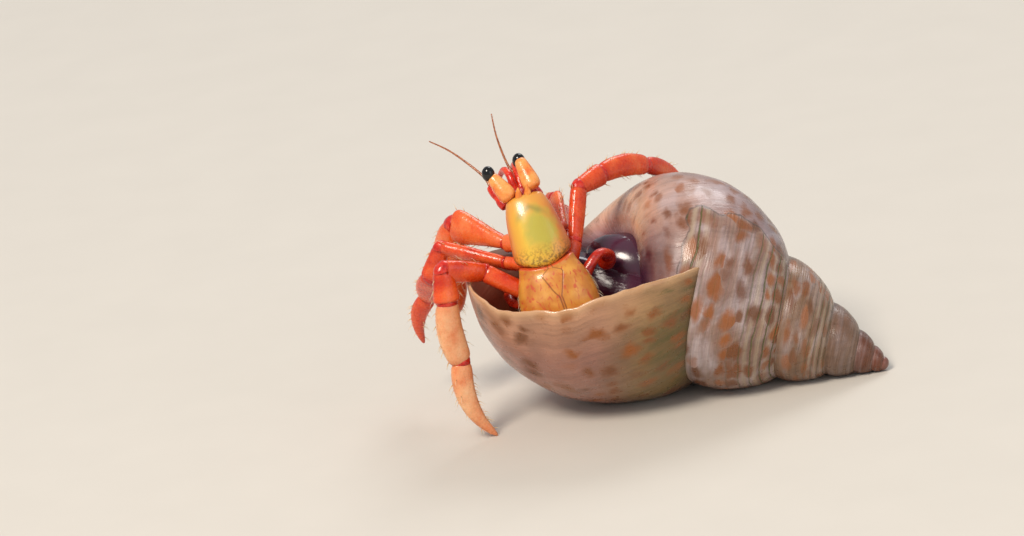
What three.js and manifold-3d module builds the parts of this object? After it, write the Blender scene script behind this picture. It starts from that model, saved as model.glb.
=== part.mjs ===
// Land hermit crab climbing out of a periwinkle shell that lies with its opening up.
// Millimetres, +Z up. The floor is Z = 0 and the origin is the middle of the model's foot print.
import * as THREE from 'three';
import { mergeVertices } from 'three/addons/utils/BufferGeometryUtils.js';
import Module from 'manifold-3d';

const wasm = await Module();
wasm.setup();

// ---------------------------------------------------------------- driving dimensions

const JOINT_GAP = 0.06;            // clear space between two neighbouring hard pieces
const DEGREE = Math.PI / 180;

// Place of the point where the shell's spiral begins; every list below is measured from it.
const SPIRAL_START = new THREE.Vector3(16.82, -4.8, 0.11);

// The shell is one equiangular spiral, so each whorl is the one before it times WHORL_GROWTH.
const WHORL_GROWTH = 1.71;
const WHORLS = 5.5;
const AXIS_HEADING = -15.5;        // degrees, from the body whorl towards the tip
const AXIS_SLOPE = -26.8;
const LIP_START_ANGLE = 35;        // where the lip meets the suture, degrees above the near side
const STEPS_PER_WHORL = 18;
const WALL = 0.55;
const LIP_STEPS = 5;
const CHAMBER_TURN = 330;          // how deep the open chamber reaches, degrees of spiral
const CHAMBER_OVERRUN = 30;        // how far the cutting shape runs out past the lip, degrees
const CHAMBER_STEPS = 8;           // in each of the two cuts that hollow the chamber
const CUT_OVERLAP = 0.5;           // degrees by which the second cut starts inside the first
// Central pillar, from the blunt tip down to where it fades out in the mouth: [radius, height].
const PILLAR = [
  [0, 0.5], [0.3, 0.6], [0.45, 1.0], [0.2, 1.6], [1.8, 14], [2.3, 17], [2.4, 19.5], [1.9, 21.5],
  [1, 23], [0, 23.4],
];
const PILLAR_SIDES = 12;
const CORE_RADIUS = 0.05;          // each whorl's section is closed this far from the axis

// Outline of the last whorl where the lip starts: [distance down the axis, radius, lip lag].
// The lip leans back along the spiral, by the lag in degrees, from the suture to the base.
const WHORL_OUTLINE = [
  [15.2, 7.25, 0], [16.5, 8.75, 9], [18.3, 10.0, 17], [21.0, 11.3, 27], [23.5, 11.95, 35],
  [25.7, 12.0, 41], [27.8, 11.65, 46], [29.6, 11.0, 49], [31.2, 10.0, 51], [32.5, 8.5, 54],
  [33.2, 7.0, 58], [33.4, 5.5, 62], [33.0, 4.1, 66], [32.0, 2.8, 70],
];
// Inner side of the chamber: up the pillar, then along the whorl before.
const CHAMBER_INSIDE = [
  [31.4, 4.3], [28, 4.1], [24.6, 4.0], [21.6, 4.15], [20.1, 4.8], [19.05, 5.75], [17.8, 6.65], [16.4, 7.25],
];
const CHAMBER_MIDDLE = [25.2, 7.4];

// The trunk: [x, y, z, half width, height of the back, depth of the belly].
// It runs from the front of the head to where the soft abdomen starts inside the shell.
const TRUNK = [
  [-24.02, 1.23, 16.41, 1.25, 0.75, 0.65],
  [-23.78, 0.71, 15.12, 1.72, 1.20, 1.15],
  [-23.51, 0.26, 13.73, 1.98, 1.45, 1.45],
  [-23.29, -0.13, 12.55, 1.96, 1.45, 1.55],
  [-23.14, -0.40, 11.72, 1.88, 1.30, 1.60],
  [-22.75, -0.74, 10.66, 2.50, 1.60, 1.70],
  [-22.45, -1.13, 9.47, 2.80, 1.75, 1.75],
  [-22.13, -1.51, 7.97, 2.80, 1.75, 1.75],
];
// Plates and belly of the trunk: [row of TRUNK, share of its size there]. The groove is at row 4.
const SHIELD_ROWS = [[0, 0.8], [0.12, 1], [1, 1], [2, 1], [3, 1], [3.45, 0.93], [3.75, 0.75], [3.92, 0.45]];
const CARAPACE_ROWS = [[4.03, 0.75], [4.2, 0.97], [5, 1], [6, 1], [7, 1]];
const BELLY_ROWS = [[0.05, 0.7], [0.3, 0.95], [1, 1], [2, 1], [3, 1], [4, 1], [5, 0.94], [7, 0.94]];
const HARD_BODY_ROWS = [[0, 0.8], [0.3, 1], [1, 1], [2, 1], [3, 1], [4, 1], [5, 1], [6, 1], [7, 1]];
const WHOLE_TRUNK_ROWS = [...HARD_BODY_ROWS, [8, 1]];
const TRUNK_SIDES = 12;
const RIGHT_OF_CRAB = new THREE.Vector3(0.988, -0.048, -0.149);

// Soft abdomen: [degrees back along the spiral, half width, half depth]. Its rows follow TRUNK's.
const ABDOMEN = [
  [85, 2.6, 1.9], [125, 2.4, 1.9], [165, 2.1, 1.7], [205, 1.75, 1.45], [245, 1.3, 1.1], [275, 0.8, 0.7],
];
const ABDOMEN_FRONT_ROWS = [[7.1, 0.97], [8, 0.97], [9, 0.97], [10, 0.97], [10.47, 0.97]];
const ABDOMEN_REAR_ROWS = [[10.53, 0.97], [11, 0.97], [12, 0.97], [13, 0.97]];
const TAIL_TURNS = [277, 284, 294];
const TAIL_SHAPE = [[0, 0.6, 0.35], [0.4, 0.95, 0.4], [0.8, 0.8, 0.32], [1, 0.4, 0.25]];

// Hard segments of the limbs: [place along it, half depth, half thickness], times the limb's size.
// Lists of [place, half depth, half thickness] further down are read in the same way.
const SEGMENT_SHAPES = {
  ischium: [[0, 0.55, 0.45], [0.15, 0.68, 0.55], [0.85, 0.68, 0.55], [1, 0.5, 0.42]],
  merus: [[0, 0.45, 0.38], [0.12, 0.66, 0.5], [0.55, 0.78, 0.56], [0.88, 0.76, 0.58], [1, 0.5, 0.42]],
  carpus: [[0, 0.45, 0.4], [0.2, 0.66, 0.54], [0.65, 0.9, 0.64], [0.92, 1.02, 0.66], [1, 0.8, 0.52]],
  propodus: [[0, 0.55, 0.42], [0.12, 0.86, 0.56], [0.5, 0.98, 0.62], [0.88, 0.9, 0.58], [1, 0.6, 0.42]],
  dactyl: [
    [0, 0.4, 0.34], [0.1, 0.66, 0.5], [0.3, 0.72, 0.52], [0.6, 0.58, 0.44], [0.85, 0.36, 0.32],
    [1, 0.24, 0.24],
  ],
  arm: [[0, 0.42, 0.42], [0.15, 0.56, 0.56], [0.55, 0.98, 0.66], [0.9, 1.32, 0.7], [1, 1.0, 0.5]],
  wrist: [[0, 0.65, 0.6], [0.2, 1.0, 0.85], [0.65, 1.25, 1.05], [1, 0.85, 0.8]],
  palm: [[0, 0.6, 0.6], [0.12, 1.05, 0.85], [0.45, 1.4, 1.05], [0.8, 1.2, 0.9], [1, 0.75, 0.6]],
  finger: [[0, 0.5, 0.42], [0.25, 0.55, 0.46], [0.7, 0.4, 0.36], [1, 0.22, 0.22]],
};
const LEG_SEGMENTS = ['ischium', 'merus', 'carpus', 'propodus', 'dactyl'];
const CLAW_SEGMENTS = ['ischium', 'arm', 'wrist', 'palm', 'finger'];
const SEGMENT_BOW = { propodus: 0.06, dactyl: 0.13, finger: 0.1 };   // share of its length
const SEGMENT_SIDES = 8;
const PALE_SEGMENTS = ['propodus', 'dactyl'];

// Each limb starts at root inside the trunk. Each segment is [length, heading, pitch] in degrees.
const LEGS = {
  leg_2_left: { size: 0.84, root: [-24.59, 0.91, 11.54],
    pose: [[1.62, 147, 3], [5.07, 152, 13], [2.6, 154, -64], [3.87, 99, -38], [4.69, 111, -59]] },
  leg_3_left: { size: 1, root: [-24.63, -0.2, 9.75],
    pose: [[3.54, 168, 32], [3.19, -158, 18], [2.29, -103, -82], [4.53, 34, -85], [6.16, 7, -74]] },
  leg_2_right: { size: 0.84, root: [-22.17, 1.36, 11.96],
    pose: [[2.84, 69, 6], [5.82, 91, -2], [4.34, 94, -47], [5.52, 77, -69], [4.85, -74, -53]] },
  leg_3_right: { size: 0.84, root: [-21.93, -0.04, 10.22],
    pose: [[3.03, 58, 51], [3.91, 69, 52], [2.6, 48, 3], [4.73, 45, -11], [6.22, 43, -46]] },
};
const CLAWS = {
  claw_left: { size: 1, root: [-24.28, 1.47, 12.95],
    pose: [[2.1, 134, -7], [4.83, 138, 12], [3.73, 114, -60], [3.84, -157, -83], [2.53, -98, -58]] },
  claw_right: { size: 0.68, root: [-22.5, 1.82, 13.36],
    pose: [[2.06, 62, -8], [3.84, 95, 15], [2.4, 108, -35], [3.57, 122, -33], [2.02, 127, -37]] },
};
// The two hind pairs are small and stay inside the shell's mouth, each one piece.
const SMALL_LEGS = {
  leg_4_left: { radius: 0.38, root: [-24.3, 0.1, 8.9],
    pose: [[2.1, 137, -8], [1.5, 99, 10], [1.3, 58, -14]] },
  leg_4_right: { radius: 0.45, root: [-21.25, -0.23, 9.64],
    pose: [[2.58, 27, 46], [1.47, 53, -17], [1.44, 110, -47]] },
  leg_5_left: { radius: 0.3, root: [-24.2, -0.74, 8.07], pose: [[1.85, 137, -1], [1.39, 101, -47]] },
  leg_5_right: { radius: 0.3, root: [-20.96, -0.45, 8.33], pose: [[2.28, 52, -9], [1.31, 106, -56]] },
};
const SMALL_LEG_SHAPE = [
  [0, 0.8, 0.8], [0.15, 1, 0.9], [0.45, 1.1, 0.95], [0.75, 1.05, 0.9], [0.93, 0.75, 0.7], [1, 0.5, 0.5],
];

// Head: eyestalks, their scales, the two pairs of feelers and the outer mouth legs.
const HEAD = {
  left: {
    stalk: [[-24.9, 0.95, 16.43], [-26.12, 1.84, 18.24]],
    cornea: [-26.2, 2.05, 18.2],
    scale: [[-24.36, 0.6, 16.5], [-24.31, 0.72, 17.3]],
    antenna: [[-25.3, 2.0, 15.6], [-26.21, 3.19, 16.95]],
    flagellum: [[-26.21, 3.19, 16.95], [-26.7, 3.86, 17.71], [-28.47, 5.57, 19.09], [-29.99, 7.62, 19.57]],
    antennule: [
      [-24.46, 1.94, 16.1], [-24.72, 2.5, 17.6], [-25.14, 3.68, 17.8], [-25.73, 5.64, 16.07],
      [-25.65, 6.52, 14.88],
    ],
    mouthLeg: [[-24.2, 1.9, 13.9], [-24.45, 3.6, 13.7], [-24.35, 4.5, 15.2], [-24.2, 4.2, 16.3]],
  },
  right: {
    stalk: [[-23.2, 1.0, 16.95], [-23.86, 2.25, 18.7]],
    cornea: [-23.95, 2.7, 18.6],
    scale: [[-23.7, 0.66, 16.65], [-23.66, 0.76, 17.42]],
    antenna: [[-22.9, 2.1, 16.0], [-24.03, 3.31, 17.3]],
    flagellum: [[-24.03, 3.31, 17.3], [-24.69, 3.73, 17.94], [-25.2, 5.53, 19.6], [-25.33, 7.81, 20.81]],
    antennule: [
      [-23.95, 1.96, 16.2], [-24.19, 2.9, 17.6], [-24.31, 4.34, 17.9], [-24.77, 6.11, 16.21],
      [-24.76, 7.18, 14.97],
    ],
    mouthLeg: [[-22.95, 1.85, 14.1], [-23.1, 3.5, 14.0], [-23.3, 4.4, 15.4], [-23.45, 4.1, 16.5]],
  },
};
const STALK_SHAPE = [
  [0, 0.55, 0.5], [0.12, 0.7, 0.62], [0.55, 0.7, 0.62], [0.85, 0.66, 0.6], [1.08, 0.36, 0.34],
];
const CORNEA_RADIUS = 0.54;
const CORNEA_STRETCH = 1.2;        // its height over its width
const FEELER_RADIUS = 0.27;
const MOUTH_LEG_RADIUS = 0.36;
const PEDUNCLE_SHAPE = [[0, 0.4, 0.4], [0.3, 0.45, 0.45], [0.8, 0.4, 0.4], [1, 0.3, 0.3]];
const SCALE_SHAPE = [[0, 0.32, 0.3], [0.4, 0.3, 0.3], [1, 0.14, 0.14]];
const EVEN_TUBE = [
  [0, 0.8, 0.8], [0.12, 1, 1], [0.3, 1, 1], [0.5, 1, 1], [0.7, 1, 1], [0.88, 1, 1], [1, 0.7, 0.7],
];
const FLAGELLUM_SHAPE = [
  [0, 1, 1], [0.17, 1, 1], [0.34, 1, 1], [0.5, 1, 1], [0.67, 1, 1], [0.84, 1, 1], [1, 0.9, 0.9],
];
const FEELER_SIDES = 6;

// Colour and roughness of each kind of piece.
const FINISH = {
  shell: [0xb49a94, 0.4], shield: [0xe8b04c, 0.3], carapace: [0xdfa050, 0.35], trunk: [0xd2482a, 0.4],
  abdomen: [0xc98a6a, 0.5], leg: [0xe04a20, 0.35], pale: [0xf0a878, 0.4], eye: [0x120d0c, 0.1],
  stalk: [0xf08a44, 0.35], feeler: [0x9a5a34, 0.5],
};

// ---------------------------------------------------------------- solids

const vector = (point) => new THREE.Vector3(...point);
const across = (direction, along) => direction.clone().projectOnPlane(along).normalize();
const clearOf = (solid, ...others) => others.reduce((rest, other) => rest.subtract(other), solid);

// Joins the corners of a closed geometry and turns its faces outwards, ready for cutting.
function solidOf(geometry) {
  geometry.deleteAttribute('normal');
  geometry.deleteAttribute('uv');
  const merged = mergeVertices(geometry, 1e-4);
  const corners = merged.attributes.position;
  const index = Array.from(merged.index.array);
  const [a, b, c] = [new THREE.Vector3(), new THREE.Vector3(), new THREE.Vector3()];
  const faces = [];
  let volume = 0;
  for (let i = 0; i < index.length; i += 3) {
    const [p, q, r] = index.slice(i, i + 3);
    if (p === q || q === r || r === p) continue;
    faces.push(p, q, r);
    volume += a.fromBufferAttribute(corners, p).dot(
      b.fromBufferAttribute(corners, q).cross(c.fromBufferAttribute(corners, r)));
  }
  if (volume < 0) faces.reverse();
  return new wasm.Manifold(new wasm.Mesh({
    numProp: 3,
    vertProperties: Float32Array.from(corners.array),
    triVerts: Uint32Array.from(faces),
  }));
}

// The main body of a cut shape, without the slivers that a cut can leave.
function mainBody(solid) {
  return solid.decompose().reduce((most, piece) => (piece.volume() > most.volume() ? piece : most));
}

function geometryOf(solid) {
  const mesh = mainBody(solid).getMesh();
  const geometry = new THREE.BufferGeometry();
  geometry.setAttribute('position', new THREE.BufferAttribute(mesh.vertProperties, 3));
  geometry.setIndex(new THREE.BufferAttribute(mesh.triVerts, 1));
  geometry.computeVertexNormals();
  return geometry;
}

// Bends a cylinder of unit radius so that each of its rings becomes ring(row, cosine, sine).
function ringLoft(rows, sides, ring) {
  const geometry = new THREE.CylinderGeometry(1, 1, 1, sides, rows - 1);
  const corners = geometry.attributes.position;
  for (let i = 0; i < corners.count; i++) {
    const row = Math.round((0.5 - corners.getY(i)) * (rows - 1));
    corners.setXYZ(i, ...ring(row, corners.getX(i), corners.getZ(i)).toArray());
  }
  return solidOf(geometry);
}

// A limb segment along a curve: flattened, deepest across the plane with the given normal.
// A place past 1 runs on straight from the curve's end, and grow adds to the segment all round.
function limb(curve, stations, normal, { size = 1, grow = 0, sides = SEGMENT_SIDES } = {}) {
  const lastRow = stations.length - 1;
  return ringLoft(stations.length, sides, (row, x, y) => {
    const [place, depth, thickness] = stations[row];
    const onCurve = Math.min(place, 1);
    const along = curve.getTangent(onCurve);
    const endGrowth = row === 0 ? -grow : (row === lastRow ? grow : 0);
    const centre = curve.getPoint(onCurve);
    centre.addScaledVector(along, (place - onCurve) * curve.getLength() + endGrowth);
    const outwards = new THREE.Vector3().crossVectors(normal, along).normalize();
    const sideways = new THREE.Vector3().crossVectors(along, outwards);
    centre.addScaledVector(outwards, x * (depth * size + grow));
    return centre.addScaledVector(sideways, y * (thickness * size + grow));
  });
}

// ---------------------------------------------------------------- shell

const axis = new THREE.Vector3(
  Math.cos(AXIS_SLOPE * DEGREE) * Math.cos(AXIS_HEADING * DEGREE),
  Math.cos(AXIS_SLOPE * DEGREE) * Math.sin(AXIS_HEADING * DEGREE),
  Math.sin(AXIS_SLOPE * DEGREE),
);
const nearSide = new THREE.Vector3(axis.y, -axis.x, 0).normalize();
const upperSide = new THREE.Vector3().crossVectors(nearSide, axis);

// A point of the spiral: height and radius as at the lip's start, moved back by lag degrees.
function spiralPoint(height, radius, lag) {
  const scale = WHORL_GROWTH ** (-lag / 360);
  const angle = (LIP_START_ANGLE - lag) * DEGREE;
  return axis.clone().multiplyScalar(-height * scale)
    .addScaledVector(nearSide, radius * scale * Math.cos(angle))
    .addScaledVector(upperSide, radius * scale * Math.sin(angle));
}

// One stretch of whorl: the outline swept back along the spiral between two sets of lags.
function sweep(outline, startLags, endLags, steps) {
  const mean = (lags) => lags.reduce((sum, lag) => sum + lag, 0) / lags.length;
  return ringLoft(steps + 1, outline.length, (row, x, y) => {
    const isCapCentre = Math.hypot(x, y) < 0.5;
    if (isCapCentre) return spiralPoint(...CHAMBER_MIDDLE, mean(row === 0 ? startLags : endLags));
    const turn = Math.atan2(x, y) / (2 * Math.PI);
    const i = (Math.round(turn * outline.length) + outline.length) % outline.length;
    const lag = THREE.MathUtils.lerp(startLags[i], endLags[i], row / steps);
    return spiralPoint(outline[i][0], outline[i][1], lag);
  });
}

// The outline of the last whorl moved inwards by the wall, without its two ends.
function insideOfWall() {
  return WHORL_OUTLINE.slice(1, -2).map(([height, radius], i) => {
    const before = WHORL_OUTLINE[i];
    const after = WHORL_OUTLINE[i + 2];
    const run = Math.hypot(after[0] - before[0], after[1] - before[1]);
    const inwards = [(after[1] - before[1]) / run, -(after[0] - before[0]) / run];
    return [height + WALL * inwards[0], radius + WALL * inwards[1]];
  });
}

function shellSolid() {
  const first = WHORL_OUTLINE[0];
  const last = WHORL_OUTLINE[WHORL_OUTLINE.length - 1];
  const outline = [...WHORL_OUTLINE, [last[0], CORE_RADIUS, last[2]], [first[0], CORE_RADIUS, first[2]]];
  const lipLags = outline.map((point) => point[2]);
  const even = (points, lag) => points.map(() => lag);

  // The leaning lip is brought level over the first quarter turn, then come the half turns.
  let shell = sweep(outline, lipLags, even(outline, 90), LIP_STEPS);
  for (let lag = 90; lag < WHORLS * 360; lag += 180) {
    shell = shell.add(sweep(outline, even(outline, lag), even(outline, lag + 180), STEPS_PER_WHORL / 2));
  }
  const pillar = new THREE.LatheGeometry(
    PILLAR.map(([radius, height]) => new THREE.Vector2(radius, height)), PILLAR_SIDES);
  pillar.applyMatrix4(new THREE.Matrix4().makeBasis(nearSide, axis.clone().negate(), upperSide));
  shell = shell.add(solidOf(pillar));

  const chamber = [...insideOfWall(), ...CHAMBER_INSIDE];
  const halfWay = (CHAMBER_TURN + CHAMBER_OVERRUN) / 2;
  return clearOf(
    shell,
    sweep(chamber, even(chamber, -CHAMBER_OVERRUN), even(chamber, halfWay), CHAMBER_STEPS),
    sweep(chamber, even(chamber, halfWay - CUT_OVERLAP), even(chamber, CHAMBER_TURN), CHAMBER_STEPS),
  );
}

// ---------------------------------------------------------------- trunk and abdomen

const trunkCurve = new THREE.CatmullRomCurve3([
  ...TRUNK.map(([x, y, z]) => new THREE.Vector3(x, y, z)),
  ...ABDOMEN.map(([lag]) => spiralPoint(...CHAMBER_MIDDLE, lag)),
]);
// Half width, height of the back and depth of the belly at each row.
const trunkSizes = [
  ...TRUNK.map((entry) => entry.slice(3)),
  ...ABDOMEN.map(([, width, depth]) => [width, depth, depth]),
];
const lastRow = trunkSizes.length - 1;

// The crab's right-hand side at each row, carried down the body without twisting.
const rightSides = [RIGHT_OF_CRAB];
for (let row = 1; row <= lastRow; row++) {
  rightSides.push(across(rightSides[row - 1], trunkCurve.getTangent(row / lastRow)));
}

// A length of the trunk; back and belly are 0 on the side that is left flat.
function trunkPiece(stations, { back = 1, belly = 1, shift = 0, grow = 0 } = {}) {
  return ringLoft(stations.length, TRUNK_SIDES, (row, x, y) => {
    const [place, share] = stations[row];
    const low = Math.min(Math.floor(place), lastRow - 1);
    const between = (from, to) => THREE.MathUtils.lerp(from, to, place - low);
    const [width, height, depth] = trunkSizes[low]
      .map((size, i) => between(size, trunkSizes[low + 1][i]));

    const centre = trunkCurve.getPoint(place / lastRow);
    const along = trunkCurve.getTangent(place / lastRow);
    const right = across(rightSides[low].clone().lerp(rightSides[low + 1], place - low), along);
    const up = new THREE.Vector3().crossVectors(along, right);
    const rise = y > 0 ? y * back * (height * share + grow) : y * belly * (depth * share + grow);
    return centre.addScaledVector(right, x * (width * share + grow)).addScaledVector(up, rise + shift);
  });
}

// ---------------------------------------------------------------- limbs

// The joints of a limb: its root, then the end of each segment.
function jointsOf({ root, pose }) {
  const joints = [vector(root)];
  for (const [length, heading, pitch] of pose) {
    const direction = new THREE.Vector3(
      Math.cos(pitch * DEGREE) * Math.cos(heading * DEGREE),
      Math.cos(pitch * DEGREE) * Math.sin(heading * DEGREE),
      Math.sin(pitch * DEGREE),
    );
    joints.push(joints[joints.length - 1].clone().addScaledVector(direction, length));
  }
  return joints;
}

// A segment's middle line, bowed by a share of its length.
function segmentCurve(start, end, normal, bow) {
  const along = end.clone().sub(start);
  const inwards = new THREE.Vector3().crossVectors(along, normal).normalize();
  const middle = start.clone().lerp(end, 0.5).addScaledVector(inwards, 2 * bow * along.length());
  return new THREE.QuadraticBezierCurve3(start, middle, end);
}

// A limb is flat in the plane in which it bends most, between its second and its fourth segment.
function limbNormal(joints) {
  const upper = joints[2].clone().sub(joints[1]);
  const lower = joints[4].clone().sub(joints[3]);
  return upper.cross(lower).normalize();
}

// A plain round limb through its joints.
function tube(joints, stations, radius, grow = 0) {
  const curve = joints.length > 2 ? new THREE.CatmullRomCurve3(joints) : new THREE.LineCurve3(...joints);
  return limb(curve, stations, RIGHT_OF_CRAB, { size: radius, grow, sides: FEELER_SIDES });
}

// All segments of a limb. Each one is hollowed where the next one's root sits in it.
function limbSolids(limbPose, names) {
  const joints = jointsOf(limbPose);
  const normal = limbNormal(joints);
  const segment = (i, grow) => {
    const curve = segmentCurve(joints[i], joints[i + 1], normal, SEGMENT_BOW[names[i]] ?? 0);
    return limb(curve, SEGMENT_SHAPES[names[i]], normal, { size: limbPose.size, grow });
  };
  return names.map((name, i) => {
    const neighbours = [];
    if (i === 0) neighbours.push(wholeTrunk);
    if (i + 1 < names.length) neighbours.push(segment(i + 1, JOINT_GAP));
    return clearOf(segment(i, 0), ...neighbours);
  });
}

// ---------------------------------------------------------------- assembly

const crab = new THREE.Group();
crab.position.copy(SPIRAL_START);

// The floor lies SPIRAL_START.z below the spiral's start, and what it cuts becomes a small flat.
const FLOOR_SIZE = [80, 80, 10];
const floor = new THREE.BoxGeometry(...FLOOR_SIZE);
floor.translate(-SPIRAL_START.x, -SPIRAL_START.y, -SPIRAL_START.z - FLOOR_SIZE[2] / 2);
const belowFloor = solidOf(floor);
const wholeTrunk = trunkPiece(WHOLE_TRUNK_ROWS, { grow: JOINT_GAP });

function addPiece(group, name, solid, [colour, roughness]) {
  const material = new THREE.MeshStandardMaterial({ color: colour, roughness, metalness: 0 });
  const mesh = new THREE.Mesh(geometryOf(solid), material);
  mesh.name = name;
  group.add(mesh);
}

function addGroup() {
  const group = new THREE.Group();
  crab.add(group);
  return group;
}

addPiece(crab, 'shell', shellSolid().subtract(belowFloor), FINISH.shell);

const body = addGroup();
const backShift = JOINT_GAP / 2;
addPiece(body, 'shield', trunkPiece(SHIELD_ROWS, { belly: 0, shift: backShift }), FINISH.shield);
addPiece(
  body, 'posterior_carapace', trunkPiece(CARAPACE_ROWS, { belly: 0, shift: backShift }), FINISH.carapace);
addPiece(body, 'trunk', trunkPiece(BELLY_ROWS, { back: 0, shift: -backShift }), FINISH.trunk);
const hardBody = trunkPiece(HARD_BODY_ROWS, { grow: JOINT_GAP });
addPiece(body, 'abdomen_front', trunkPiece(ABDOMEN_FRONT_ROWS).subtract(hardBody), FINISH.abdomen);
addPiece(body, 'abdomen_rear', trunkPiece(ABDOMEN_REAR_ROWS), FINISH.abdomen);
const tailJoints = TAIL_TURNS.map((lag) => spiralPoint(...CHAMBER_MIDDLE, lag));
addPiece(body, 'tail_fan', tube(tailJoints, TAIL_SHAPE, 1), FINISH.leg);

for (const [name, leg] of Object.entries(LEGS)) {
  const group = addGroup();
  limbSolids(leg, LEG_SEGMENTS).forEach((solid, i) => {
    const finish = PALE_SEGMENTS.includes(LEG_SEGMENTS[i]) ? FINISH.pale : FINISH.leg;
    addPiece(group, `${name}_${LEG_SEGMENTS[i]}`, solid.subtract(belowFloor), finish);
  });
}
for (const [name, claw] of Object.entries(CLAWS)) {
  const group = addGroup();
  limbSolids(claw, CLAW_SEGMENTS).forEach((solid, i) => {
    addPiece(group, `${name}_${CLAW_SEGMENTS[i]}`, solid, FINISH.leg);
  });
}
for (const [name, leg] of Object.entries(SMALL_LEGS)) {
  addPiece(body, name, tube(jointsOf(leg), SMALL_LEG_SHAPE, leg.radius).subtract(wholeTrunk), FINISH.leg);
}

// One side of the head. Each piece is cut clear of the ones made before it.
for (const [side, parts] of Object.entries(HEAD)) {
  const group = addGroup();
  const stalkCurve = new THREE.LineCurve3(...parts.stalk.map(vector));
  const stalk = (grow) => limb(stalkCurve, STALK_SHAPE, RIGHT_OF_CRAB, { grow });
  const antennaBase = (grow) => tube(parts.antenna.map(vector), PEDUNCLE_SHAPE, 1, grow);
  const flagellum = (grow) => tube(parts.flagellum.map(vector), FLAGELLUM_SHAPE, FEELER_RADIUS, grow);
  const antennule = tube(parts.antennule.map(vector), EVEN_TUBE, FEELER_RADIUS);
  const mouthLeg = tube(parts.mouthLeg.map(vector), EVEN_TUBE, MOUTH_LEG_RADIUS);
  const eyeScale = tube(parts.scale.map(vector), SCALE_SHAPE, 1);
  const cornea = new THREE.SphereGeometry(CORNEA_RADIUS, 10, 6);
  cornea.scale(1, 1, CORNEA_STRETCH);
  cornea.translate(...parts.cornea);

  const [clearStalk, clearBase, clearFlagellum] = [stalk, antennaBase, flagellum]
    .map((make) => make(JOINT_GAP));
  const pieces = [
    ['eyestalk', clearOf(stalk(0), wholeTrunk), FINISH.stalk],
    ['cornea', clearOf(solidOf(cornea), clearStalk), FINISH.eye],
    ['eye_scale', clearOf(eyeScale, wholeTrunk, clearStalk), FINISH.shield],
    ['antenna_base', clearOf(antennaBase(0), wholeTrunk, clearStalk), FINISH.trunk],
    ['antenna', clearOf(flagellum(0), clearBase, clearStalk), FINISH.feeler],
    ['antennule', clearOf(antennule, wholeTrunk, clearStalk, clearBase, clearFlagellum), FINISH.trunk],
    ['mouth_leg', clearOf(mouthLeg, wholeTrunk), FINISH.trunk],
  ];
  for (const [piece, solid, finish] of pieces) addPiece(group, `${piece}_${side}`, solid, finish);
}

export default crab;
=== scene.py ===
"""A young land hermit crab climbing out of its snail shell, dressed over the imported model."""

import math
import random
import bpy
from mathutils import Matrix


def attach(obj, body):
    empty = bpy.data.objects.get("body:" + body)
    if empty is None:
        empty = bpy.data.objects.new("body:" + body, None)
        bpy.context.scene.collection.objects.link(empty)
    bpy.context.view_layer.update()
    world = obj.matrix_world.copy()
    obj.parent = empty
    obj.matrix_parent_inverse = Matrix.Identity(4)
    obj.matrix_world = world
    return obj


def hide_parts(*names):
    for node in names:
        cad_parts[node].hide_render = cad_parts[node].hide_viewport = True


bl_info = {
    "name": "Hermit Crab in a Snail Shell",
    "version": (1, 0, 0),
    "blender": (4, 5, 0),
    "location": "View3D > Sidebar > Hermit Crab",
    "description": "Builds a life-size hermit crab climbing out of a snail shell that lies mouth up",
    "category": "Add Mesh",
}

from functools import partial
from types import SimpleNamespace

import bmesh
import bpy
from bpy.props import FloatProperty, FloatVectorProperty, PointerProperty
from mathutils import Matrix, Vector, noise

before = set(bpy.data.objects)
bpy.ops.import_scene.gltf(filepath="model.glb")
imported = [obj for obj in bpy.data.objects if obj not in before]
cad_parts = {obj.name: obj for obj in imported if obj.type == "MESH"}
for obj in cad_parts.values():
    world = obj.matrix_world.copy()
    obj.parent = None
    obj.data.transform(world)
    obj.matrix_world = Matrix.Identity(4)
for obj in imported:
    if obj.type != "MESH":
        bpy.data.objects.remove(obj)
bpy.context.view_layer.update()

MM = 0.001

# ---------------------------------------------------------------- sizes shared with the solids
# Lists of places are in millimetres from the point where the shell's spiral starts.

SPIRAL_START = Vector((16.82, -4.8, 0.11))
WHORL_GROWTH = 1.71
AXIS_HEADING = math.radians(-15.5)
AXIS_SLOPE = math.radians(-26.8)
LIP_START_ANGLE = 35.0

# Outline of the last whorl where the lip starts: (distance down the axis, radius, lip lag).
WHORL_OUTLINE = [
    (15.2, 7.25, 0), (16.5, 8.75, 9), (18.3, 10.0, 17), (21.0, 11.3, 27), (23.5, 11.95, 35),
    (25.7, 12.0, 41), (27.8, 11.65, 46), (29.6, 11.0, 49), (31.2, 10.0, 51), (32.5, 8.5, 54),
    (33.2, 7.0, 58), (33.4, 5.5, 62), (33.0, 4.1, 66), (32.0, 2.8, 70),
]
# The outline runs on into the wall of the whorl before, and round the base up the axis.
SUTURE_ROOT = (14.9, 6.75, -1)
BASE_END = [(30.6, 1.75, 72), (29.0, 1.0, 70), (25.0, 0.6, 50), (20.6, 0.6, 30), (19.6, 2.4, 22)]
BASE_ROWS = 3                # rows at the end of the outline that lie on the base, over the pillar
# Inner side of the wall: its root below the suture, and the pillar from the base up.
INNER_ROOT = (16.1, 6.75, 0)
COLUMELLA = [
    (31.9, 5.6, 62), (30.6, 4.5, 66), (28.0, 4.1, 60), (24.6, 4.0, 45), (21.6, 4.25, 31), (19.0, 4.6, 18),
]
# The pillar's rounded end, turned about the axis: (radius, distance down the axis).
PILLAR = [
    (0.0, 12.0), (1.8, 14.0), (2.3, 17.0), (2.4, 19.5), (2.25, 20.6), (1.9, 21.6), (1.4, 22.5), (0.8, 23.1),
    (0.3, 23.35), (0.0, 23.4),
]

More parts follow.
